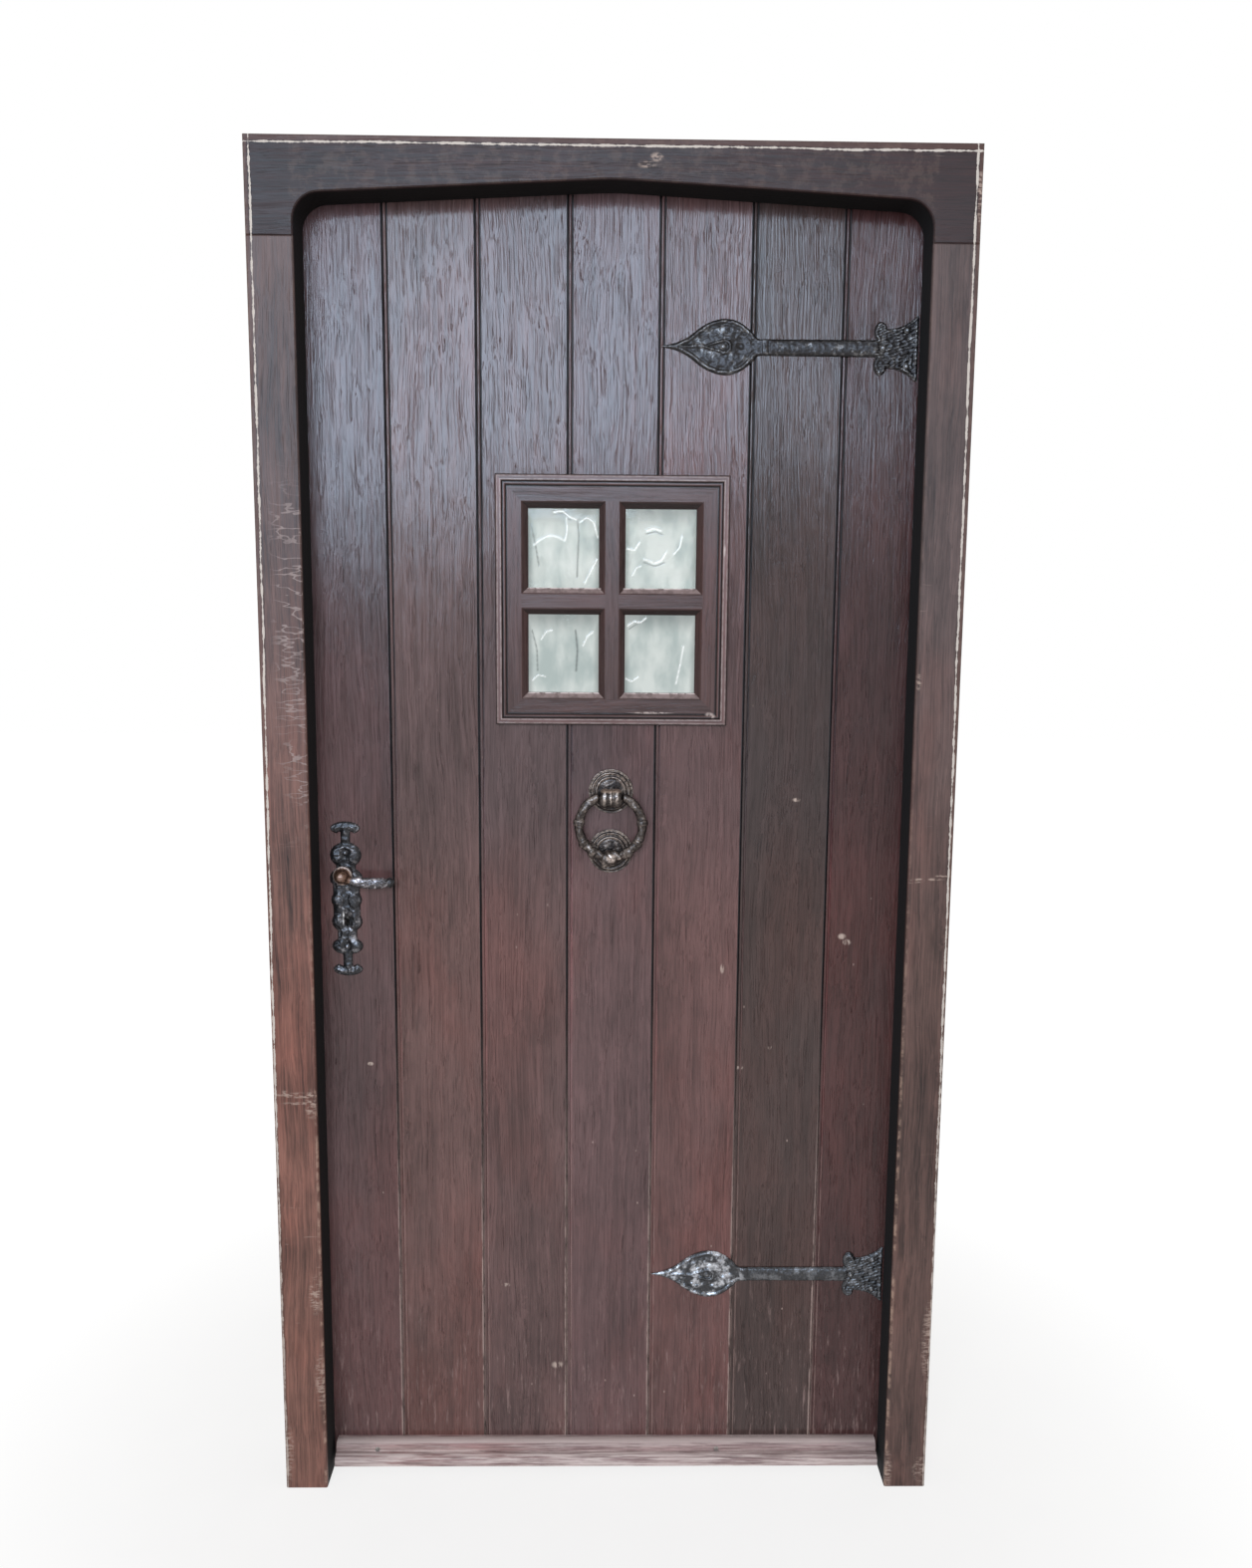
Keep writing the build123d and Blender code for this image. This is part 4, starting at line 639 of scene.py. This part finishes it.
# Glass
def glass():
    """Greenish, cloudy glass with bright swirls of painted light and dark swirls of painted shade, which the
    pane's mesh carries, and painted shade along the panes' tops and sides.
    """
    t = Tree("wavy_glass")
    bright = t.node("ShaderNodeAttribute", {"attribute_name": "bright"}).outputs["Fac"]
    dark = t.node("ShaderNodeAttribute", {"attribute_name": "dark"}).outputs["Fac"]
    cloud = t.step(t.noise(t.place((1, 1, 0.45)), 28.0, 4.0), 0.34, 0.62)
    colour = t.mix(cloud, (0.43, 0.50, 0.49), (0.65, 0.70, 0.68))
    colour = t.mix(dark, colour, (0.11, 0.13, 0.13))
    colour = t.mix(t.times(bright, 0.95), colour, (0.97, 1.0, 1.0))
    return t.finish(Base_Color=colour, Roughness=0.05, Transmission_Weight=1.0, IOR=1.25)


glass_material = glass()
dress(glass_material, "window_glass")


# Sculpted ironwork and glass: fine meshes made from the CAD solids, which they stand for
def fine_mesh(name, node, voxel):
    """A closed, even mesh of a CAD node's own form."""
    shell = bpy.data.objects.new(name + "_shell", nodes[node].data.copy())
    scene.collection.objects.link(shell)
    remesh = shell.modifiers.new("even", "REMESH")
    remesh.mode, remesh.voxel_size = "VOXEL", voxel
    made = bpy.data.meshes.new_from_object(shell.evaluated_get(bpy.context.evaluated_depsgraph_get()))
    made.name = name
    bpy.data.objects.remove(shell)
    return made


def vectors_of(mesh, key):
    """Every vertex's place or normal, one row each."""
    flat = np.empty(len(mesh.vertices) * 3)
    mesh.vertices.foreach_get(key, flat)
    return flat.reshape(-1, 3)


def relax(mesh, points, weight, rounds):
    """Smooths the points along the mesh's edges, each by its own weight."""
    pairs = np.empty(len(mesh.edges) * 2, dtype=np.int64)
    mesh.edges.foreach_get("vertices", pairs)
    pairs = pairs.reshape(-1, 2)
    count = np.bincount(pairs.ravel(), minlength=len(points))[:, None]
    for _ in range(rounds):
        total = np.zeros_like(points)
        np.add.at(total, pairs[:, 0], points[pairs[:, 1]])
        np.add.at(total, pairs[:, 1], points[pairs[:, 0]])
        points = points + 0.5 * weight[:, None] * (total / count - points)
    return points


def outline_distance(node, points, seat, skip):
    """How far each point is, seen from the front, from the edge of a flat node's seat."""
    mesh = nodes[node].data
    faces = {}
    for polygon in mesh.polygons:
        for key in polygon.edge_keys:
            at = tuple(sorted(mesh.vertices[i].co.to_tuple(6) for i in key))
            faces.setdefault(at, []).append(polygon.normal)
    samples = []
    for (start, end), normals in faces.items():
        if abs(start[1] - seat) > 1e-5 or abs(end[1] - seat) > 1e-5 or len(normals) < 2:
            continue
        a, b = Vector((start[0], 0, start[2])), Vector((end[0], 0, end[2]))
        in_hole = any((a - Vector((x, 0, z))).length < r for x, z, r in skip)
        if in_hole or normals[0].dot(normals[1]) > 0.5:
            continue
        parts = max(1, math.ceil((b - a).length / 0.0008))
        samples += [a.lerp(b, i / parts) for i in range(parts + 1)]
    tree = kdtree.KDTree(len(samples))
    for i, sample in enumerate(samples):
        tree.insert(sample, i)
    tree.balance()
    return np.array([tree.find((x, 0, z))[2] for x, _, z in points])


def smooth_step(value):
    """0 below 0, 1 above 1 and a smooth ramp between."""
    value = np.clip(value, 0, 1)
    return value * value * (3 - 2 * value)


def bell(value, width):
    """1 at 0, falling off over the width."""
    return np.exp(-((value / width) ** 2))


def rough_field(points, scale, seed):
    """Smooth noise from -1 to 1 at each point."""
    shift = Vector((seed * 3.7, seed * 1.9, seed * 5.3))
    return np.array([noise.noise(Vector(p) * scale + shift) for p in points])


def hammer_field(points, pitch, seed):
    """Round hammer marks: 1 in the middle of each mark and 0 between marks."""
    shift = Vector((seed * 2.3, seed * 4.1, seed * 0.7))
    marks = []
    for p in points:
        near = noise.voronoi(Vector(p) / pitch + shift)[0]
        marks.append(near[1] - near[0])
    return smooth_step(np.array(marks) / 0.7)


def stand_in(mesh, name, node, body, material):
    """Puts a finished mesh in the place of its CAD node."""
    mesh.polygons.foreach_set("use_smooth", [True] * len(mesh.polygons))
    mesh.materials.clear()
    mesh.materials.append(material)
    made = bpy.data.objects.new(name, mesh)
    scene.collection.objects.link(made)
    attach(made, body)
    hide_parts(node)


def set_points(mesh, points):
    mesh.vertices.foreach_set("co", points.astype(np.float32).ravel())
    mesh.update()


# In the sculpting, places within a piece and the height of the relief are in millimetres
mm = 0.001
# Along a strap front: its leaf, bar and plate in mm, and its nails as shares of its length and half width
strap_leaf, strap_bar, strap_plate = (14, 140), (156, 320), 308
strap_nails = ((0.243, 0), (0.862, 0), (0.955, 0.55), (0.955, -0.55))
dome_shrink = 0.15
ring_fill = 1.9
disc_growth, eye_growth = 0.06, 0.18


def sculpt_strap(name, seed, material, mark_depth):
    """A strap front: dished leaf with a raised loop and hollow, round bar, rippled end plate."""
    node = "strap_" + name
    low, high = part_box(node)
    axis = (low.z + high.z) / 2
    mesh = fine_mesh(node + "_iron", node, voxel=0.0010)
    points = vectors_of(mesh, "co")
    s = 1000 * (points[:, 0] - low.x)
    h = 1000 * (points[:, 2] - axis)
    length, half = high.x - low.x, (high.z - low.z) / 2
    holes = [(low.x + length * along, axis + half * across, 0.004) for along, across in strap_nails]
    d = 1000 * outline_distance(node, points, leaf_front, holes)
    proud = smooth_step((leaf_front - points[:, 1]) / 0.0038)
    points = relax(mesh, points, 0.8 * proud, 2)
    leaf = smooth_step((s - strap_leaf[0]) / 10) * smooth_step((strap_leaf[1] - s) / 10)
    bar = smooth_step((s - strap_bar[0]) / 6) * smooth_step((strap_bar[1] - s) / 10)
    plate = smooth_step((s - strap_plate) / 10)
    relief = -1.7 * (1 - smooth_step(d / 3.0))
    relief += bar * 2.0 * np.clip(1 - (h / 10.5) ** 2, 0, 1)
    relief += leaf * (0.9 * bell(d - 4.4, 2.0) - 0.9 * bell(d - 8.2, 2.4))
    relief -= 2.4 * np.exp(-(((s - 115) / 8) ** 2) - ((h - 4) / 12) ** 2)
    ripple = np.sin(0.75 * h + 0.35 * s + 2 * np.sin(0.11 * s * h / 9))
    relief += plate * (1.2 * bell(d - 3.6, 1.8) + 0.75 * ripple)
    relief += plate * 1.5 * bell(np.hypot(s - 322, np.abs(h) - 30), 6.0)
    marks = hammer_field(points, 0.0105, seed)
    relief -= mark_depth * marks * (0.35 + 0.65 * np.maximum(leaf, plate))
    relief += 0.55 * rough_field(points, 190.0, seed) + 0.25 * rough_field(points, 520.0, seed + 1)
    points[:, 1] -= mm * proud * relief
    set_points(mesh, points)
    stand_in(mesh, node + "_iron", node, "leaf", material)


def sculpt_plate(side, material):
    """A handle plate: swelling lobes, forked ends and a groove down the middle."""
    node = "handle_plate_" + side
    seat, out = {"outside": (leaf_front, -1), "inside": (leaf_back, 1)}[side]
    mesh = fine_mesh(node + "_iron", node, voxel=0.0009)
    points = vectors_of(mesh, "co")
    u = 1000 * (points[:, 0] - spindle.x)
    v = 1000 * (points[:, 2] - spindle.z)
    proud = smooth_step(out * (points[:, 1] - seat) / 0.0032)
    d = 1000 * outline_distance(node, points, seat, [(spindle.x, spindle.z, 0.010)])
    points = relax(mesh, points, 0.9 * proud, 6)
    relief = -1.5 * (1 - smooth_step(d / 2.4)) + 2.2 * smooth_step((d - 1.0) / 8)
    relief -= 1.0 * bell(u, 2.0) * smooth_step((np.abs(v + 45) - 12) / 8)
    relief += 1.2 * bell(u, 3.0) * (smooth_step((v - 58) / 4) + smooth_step((-v - 142) / 4))
    neck = smooth_step((v - 24) / 6) * smooth_step((58 - v) / 6)
    relief += 1.0 * np.cos(2 * np.pi * v / 13.0) * bell(u, 9) * neck
    relief -= 1.0 * hammer_field(points, 0.0085, 6) * smooth_step((d - 1.5) / 3)
    relief += 0.40 * rough_field(points, 170.0, 7) + 0.22 * rough_field(points, 520.0, 8)
    points[:, 1] += out * mm * proud * relief
    set_points(mesh, points)
    stand_in(mesh, node + "_iron", node, "leaf", material)


def sculpt_lever(side, material):
    """A lever handle: round boss with a small dome, and an arm with hammer marks and a knob at its tip."""
    node = "lever_" + side
    mesh = fine_mesh(node + "_iron", node, voxel=0.0008)
    points = vectors_of(mesh, "co")
    normals = vectors_of(mesh, "normal")
    along = 1000 * (points[:, 0] - spindle.x)
    arm = smooth_step((along - 16) / 8)
    points = relax(mesh, points, np.full(len(points), 0.8), 2)
    relief = arm * (0.3 - 0.9 * hammer_field(points, 0.0055, 3))
    relief += arm * (1.5 * bell(along - 72.5, 4.0) - 1.3 * bell(along - 65, 2.6))
    relief += 0.20 * rough_field(points, 320.0, 5)
    out = np.abs(points[:, 1] - leaf_middle)
    relief *= smooth_step((out - 0.0296) / 0.004)
    points = points + mm * relief[:, None] * normals
    dome = smooth_step((out - 0.0528) / 0.0012) * (along < 17)
    for axis, centre in ((0, spindle.x), (2, spindle.z)):
        points[:, axis] -= dome_shrink * dome * (points[:, axis] - centre)
    set_points(mesh, points)
    stand_in(mesh, node + "_iron", node, "handle", material)


def sculpt_knocker(node, body, material):
    """The knocker's discs and ring, with leaf cuts along the ring and wear on the steps."""
    mesh = fine_mesh(node + "_iron", node, voxel=0.0008)
    points = vectors_of(mesh, "co")
    normals = vectors_of(mesh, "normal")
    front = smooth_step((leaf_front - 0.0012 - points[:, 1]) / 0.002)
    points = relax(mesh, points, 0.6 * front, 1)
    relief = 0.25 * rough_field(points, 300.0, 9) + 0.15 * rough_field(points, 700.0, 4)
    if node == "knocker_ring":
        away = np.abs(np.degrees(np.arctan2(points[:, 0], ring_middle - points[:, 2])))
        radial = np.hypot(points[:, 0], points[:, 2] - ring_middle) - ring_radius
        around = np.arctan2(points[:, 1] - knocker_pivot.y, radial)
        leafy = smooth_step((away - 12) / 6) * smooth_step((66 - away) / 8)
        relief += leafy * 0.8 * np.sin(np.radians(16 * away) + 2.0 * around)
        bark = smooth_step((away - 60) / 8) * smooth_step((146 - away) / 8)
        twist = 0.45 * np.sin(np.radians(9 * away) + 3.0 * around)
        relief += bark * (twist + 0.35 * rough_field(points, 150.0, 2))
        relief += bell(away, 12) * 0.9 * np.sin(480 * points[:, 0] + 380 * (points[:, 2] - ring_middle))
        relief += ring_fill * smooth_step((0.4 - normals[:, 1]) / 0.8)
        ears = smooth_step((np.abs(points[:, 0]) - 0.0166) / 0.005)
        relief *= np.where(points[:, 2] < ring_middle, 1.0, ears)
    else:
        relief *= front * (1 - 0.8 * smooth_step((disc_face - points[:, 1]) / 0.002))
        centre = disc_centres[0] if node == "knocker_plate" else disc_centres[1]
        radius = np.hypot(points[:, 0], points[:, 2] - centre)
        flat = front * smooth_step((points[:, 1] - disc_face) / 0.001)
        spread = 1 + disc_growth * smooth_step((radius - 0.016) / 0.006)
        points[:, 0] *= spread
        points[:, 2] = centre + (points[:, 2] - centre) * spread
        if node == "knocker_plate":
            eye = smooth_step((leaf_front - 0.0100 - points[:, 1]) / 0.003)
            points[:, 2] += eye_growth * eye * (points[:, 2] - knocker_pivot.z)
        for at in disc_ridges:
            off = 1000 * (radius - at)
            relief += flat * (0.6 * bell(off, 1.0) - 0.5 * bell(off + 2.4, 1.0))
    set_points(mesh, points + mm * relief[:, None] * normals)
    stand_in(mesh, node + "_iron", node, body, material)


# Swirls in the glass, the bright ones of painted light and the dark ones of painted shade, pane by pane: width in
# mm, then places across and down the pane
bright_swirls = {
    (-1, 1): (
        (
            1.9, (0.08, 0.46), (0.18, 0.39), (0.30, 0.34), (0.42, 0.36), (0.52, 0.41), (0.55, 0.28),
            (0.54, 0.12),
        ),
        (2.2, (0.36, 0.05), (0.48, 0.03), (0.57, 0.10), (0.68, 0.14)),
        (1.9, (0.73, 0.17), (0.83, 0.11), (0.93, 0.18), (0.98, 0.36)),
        (1.7, (0.97, 0.64), (0.88, 0.80), (0.80, 0.94)),
    ),
    (1, 1): (
        (2.8, (0.30, 0.27), (0.40, 0.24), (0.50, 0.27)),
        (2.2, (0.03, 0.50), (0.13, 0.52), (0.20, 0.42)),
        (2.2, (0.26, 0.63), (0.42, 0.68), (0.52, 0.64), (0.58, 0.54)),
        (1.9, (0.68, 0.57), (0.77, 0.48), (0.80, 0.34)),
        (1.6, (0.10, 0.84), (0.16, 0.74), (0.22, 0.72)),
    ),
    (-1, -1): (
        (1.6, (0.18, 0.32), (0.26, 0.22), (0.34, 0.20)),
        (1.7, (0.78, 0.40), (0.84, 0.28), (0.92, 0.22)),
        (1.5, (0.06, 0.85), (0.14, 0.78), (0.24, 0.80)),
    ),
    (1, -1): (
        (1.8, (0.04, 0.14), (0.14, 0.08), (0.22, 0.10), (0.30, 0.04)),
        (1.6, (0.02, 0.82), (0.10, 0.86), (0.20, 0.80)),
        (2.4, (0.84, 0.40), (0.80, 0.62), (0.74, 0.88)),
    ),
}
dark_swirls = {
    (-1, 1): (
        (2.4, (0.69, 0.14), (0.72, 0.35), (0.70, 0.60), (0.69, 0.86)),
        (2.2, (0.04, 0.20), (0.10, 0.45), (0.15, 0.72)),
        (1.9, (0.38, 0.08), (0.52, 0.07), (0.60, 0.15)),
    ),
    (1, 1): (
        (1.8, (0.30, 0.31), (0.42, 0.28), (0.52, 0.32)),
        (1.8, (0.26, 0.67), (0.42, 0.72), (0.55, 0.67)),
    ),
    (-1, -1): (
        (3.0, (0.67, 0.20), (0.70, 0.45), (0.68, 0.72)),
        (2.2, (0.05, 0.20), (0.12, 0.45), (0.13, 0.72)),
    ),
    (1, -1): ((1.8, (0.06, 0.18), (0.16, 0.12), (0.30, 0.08)),),
}


def swirl_field(points, middle, swirls):
    """1 along each swirl, falling to 0 over its width."""
    field = np.zeros(len(points))
    for (side, level), curves in swirls.items():
        for width, *places in curves:
            steps = np.linspace(0, len(places) - 1, 12 * len(places))
            us = np.interp(steps, range(len(places)), [p[0] for p in places])
            vs = np.interp(steps, range(len(places)), [p[1] for p in places])
            for _ in range(6):
                us[1:-1] = (us[:-2] + us[1:-1] + us[2:]) / 3
                vs[1:-1] = (vs[:-2] + vs[1:-1] + vs[2:]) / 3
            left = pane_low.x if side > 0 else -pane_high.x
            top = pane_high.y if level > 0 else -pane_low.y
            xs = middle.x + left + us * (pane_high.x - pane_low.x)
            zs = middle.z + top - vs * (pane_high.y - pane_low.y)
            gap = np.min(np.hypot(points[:, :1] - xs, points[:, 2:] - zs), axis=1)
            field = np.maximum(field, bell(gap, 0.0005 * width))
    return field


def blown_glass(material):
    """The pane: one sheet with drawn waves and thick swirls on both faces."""
    low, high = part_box("window_glass")
    middle = (low + high) / 2
    columns, rows = 190, 204
    grid_x, grid_z = np.meshgrid(np.linspace(low.x, high.x, columns), np.linspace(low.z, high.z, rows))
    flat = np.stack([grid_x.ravel(), np.zeros(grid_x.size), grid_z.ravel()], axis=1)
    # The bright swirls are painted light and the dark ones painted shade.
    bright = swirl_field(flat, middle, bright_swirls)
    dark = 0.85 * swirl_field(flat, middle, dark_swirls)
    # Painted shade under the top of each pane and along its sides.
    across, up = np.abs(flat[:, 0] - middle.x), flat[:, 2] - middle.z
    for top in (pane_high.y, -pane_low.y):
        drop = top - up
        dark = np.maximum(dark, 0.55 * smooth_step(1 - drop / 0.034) * (drop > -0.01))
    sides = np.minimum(across - pane_low.x, pane_high.x - across)
    dark = np.maximum(dark, 0.50 * smooth_step(1 - sides / 0.010) * (sides > -0.01))
    rim_x = np.minimum(flat[:, 0] - low.x, high.x - flat[:, 0])
    rim_z = np.minimum(flat[:, 2] - low.z, high.z - flat[:, 2])
    inside = smooth_step(np.minimum(rim_x, rim_z) / 0.006)
    wave = inside * (0.0012 + 0.0007 * rough_field(flat, 17.0, 4) - 0.0008 * bright + 0.0005 * dark)
    front, back = flat.copy(), flat.copy()
    shallow, deep = 0.0001, 0.0022
    front[:, 1] = low.y + np.clip(wave, shallow, deep)
    wave = inside * (0.0009 + 0.0006 * rough_field(flat, 21.0, 5))
    back[:, 1] = high.y - np.clip(wave, shallow, deep)
    count = columns * rows
    faces = []
    for a in (r * columns + c for r in range(rows - 1) for c in range(columns - 1)):
        faces.append((a, a + 1, a + 1 + columns, a + columns))
        faces.append((count + a, count + a + columns, count + a + 1 + columns, count + a + 1))
    border = list(range(columns)) + [r * columns + columns - 1 for r in range(1, rows)]
    border += [(rows - 1) * columns + c for c in range(columns - 2, -1, -1)]
    border += [r * columns for r in range(rows - 2, 0, -1)]
    for a, b in zip(border, border[1:] + border[:1]):
        faces.append((b, a, count + a, count + b))
    mesh = bpy.data.meshes.new("window_glass_wavy")
    mesh.from_pydata(np.concatenate([front, back]).tolist(), [], faces)
    mesh.update()
    for key, values in (("bright", bright), ("dark", dark)):
        both = np.concatenate([values, values]).astype(np.float32)
        mesh.attributes.new(key, "FLOAT", "POINT").data.foreach_set("value", both)
    stand_in(mesh, "window_glass_wavy", "window_glass", "leaf", material)


sculpt_strap("upper", 1, upper_iron, mark_depth=1.1)
sculpt_strap("lower", 2, lower_iron, mark_depth=1.5)
for side in ("outside", "inside"):
    sculpt_plate(side, plate_iron)
    sculpt_lever(side, lever_iron)
for node, body in (("knocker_plate", "leaf"), ("knocker_strike", "leaf"), ("knocker_ring", "knocker")):
    sculpt_knocker(node, body, knocker_iron)
blown_glass(glass_material)


# Stage, light and camera
def make_floor():
    """A white floor that keeps the door's shadow near its foot."""
    t = Tree("pale_floor")
    path = t.node("ShaderNodeLightPath").outputs
    seen = t.most(path["Is Camera Ray"], path["Is Glossy Ray"], path["Is Transmission Ray"])
    share = t.step(t.length(t.point), 0.5, 1.5, 0.74, 1.0)
    grain = t.step(t.noise(t.point, 9.0, 3.0), 0.3, 0.7, 0.80, 0.84)
    grey = t.node("ShaderNodeCombineColor", Red=grain, Green=grain, Blue=grain).outputs[0]
    plain = t.node("ShaderNodeBsdfDiffuse", Color=grey)
    white = t.node("ShaderNodeEmission", Color=(1, 1, 1), Strength=1.06)
    mixed = t.node("ShaderNodeMixShader", Fac=t.times(seen, share))
    t.tree.links.new(plain.outputs[0], mixed.inputs[1])
    t.tree.links.new(white.outputs[0], mixed.inputs[2])
    t.tree.links.new(mixed.outputs[0], t.out.inputs[0])
    mesh = bpy.data.meshes.new("floor")
    half = 12.0
    corners = [(-half, -half, 0), (half, -half, 0), (half, half, 0), (-half, half, 0)]
    mesh.from_pydata(corners, [], [(0, 1, 2, 3)])
    mesh.materials.append(t.material)
    floor = bpy.data.objects.new("floor", mesh)
    scene.collection.objects.link(floor)
    floor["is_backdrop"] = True


def make_world():
    """An even fill light, seen as plain white."""
    world = bpy.data.worlds.new("studio")
    scene.world = world
    world.use_nodes = True
    tree = world.node_tree
    tree.nodes.clear()
    path = tree.nodes.new("ShaderNodeLightPath").outputs
    seen = path["Is Camera Ray"]
    for key in ("Is Glossy Ray", "Is Transmission Ray"):
        either = tree.nodes.new("ShaderNodeMath")
        either.operation = "MAXIMUM"
        tree.links.new(seen, either.inputs[0])
        tree.links.new(path[key], either.inputs[1])
        seen = either.outputs[0]
    join = tree.nodes.new("ShaderNodeMixShader")
    tree.links.new(seen, join.inputs[0])
    fill, plain = ((1.0, 0.95, 0.90, 1.0), 0.40), ((1, 1, 1, 1), 1.0)
    for index, (colour, strength) in enumerate((fill, plain)):
        light = tree.nodes.new("ShaderNodeBackground")
        light.inputs["Color"].default_value = colour
        light.inputs["Strength"].default_value = strength
        tree.links.new(light.outputs[0], join.inputs[index + 1])
    out = tree.nodes.new("ShaderNodeOutputWorld")
    tree.links.new(join.outputs[0], out.inputs[0])


power_per_radiance = 4  # for each square metre of an area light in Cycles


def area_light(name, at, target, width, height, radiance, colour, roll=0.0):
    """A soft rectangular light that the camera doesn't see."""
    data = bpy.data.lights.new(name, "AREA")
    data.shape = "RECTANGLE"
    data.size, data.size_y = width, height
    data.energy = power_per_radiance * radiance * width * height
    data.color = colour
    light = bpy.data.objects.new(name, data)
    scene.collection.objects.link(light)
    light.visible_camera = False
    light.location = at
    light.rotation_mode = "QUATERNION"
    facing = (Vector(target) - Vector(at)).to_track_quat("-Z", "Y")
    light.rotation_quaternion = facing @ Quaternion((0, 0, 1), roll)
    return light


make_floor()
make_world()
# The key light gives the light on the door, and the sky light only its reflection on the upper boards
key = area_light(
    "key", at=(-0.65, -4.8, 2.5), target=(-0.65, 0.0, 2.5), width=3.2, height=1.9,
    radiance=7.5, colour=(0.96, 0.97, 1.0),
)
key.visible_glossy = False
sky = area_light(
    "sky", at=(-0.98, -4.2, 2.62), target=(-0.98, 0.0, 2.62), width=3.3, height=1.6,
    radiance=9.6, colour=(0.60, 0.78, 1.0), roll=0.24,
)
sky.visible_diffuse = False

# The camera as fitted to the photograph's edges and joints
focal_px, photo_height_px, sensor_mm = 1225.0, 1574.0, 36.0
camera_data = bpy.data.cameras.new("camera")
camera_data.sensor_fit = "VERTICAL"
camera_data.sensor_height = sensor_mm
camera_data.sensor_width = sensor_mm
camera_data.lens = focal_px * sensor_mm / photo_height_px
camera_data.clip_end = 100.0
camera = bpy.data.objects.new("camera", camera_data)
scene.collection.objects.link(camera)
right = Vector((0.99987982, -0.01340999, 0.00777993))
up = Vector((-0.00586967, 0.13702108, 0.99055074))
ahead = Vector((0.01434929, 0.99047736, -0.1369259))
turn = Matrix((right, up, -ahead)).transposed().to_4x4()
camera_at = (-0.0036, -1.856, 1.3814)
camera.matrix_world = Matrix.Translation(camera_at) @ turn
scene.camera = camera
scene.view_settings.view_transform = "Standard"

low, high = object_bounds()
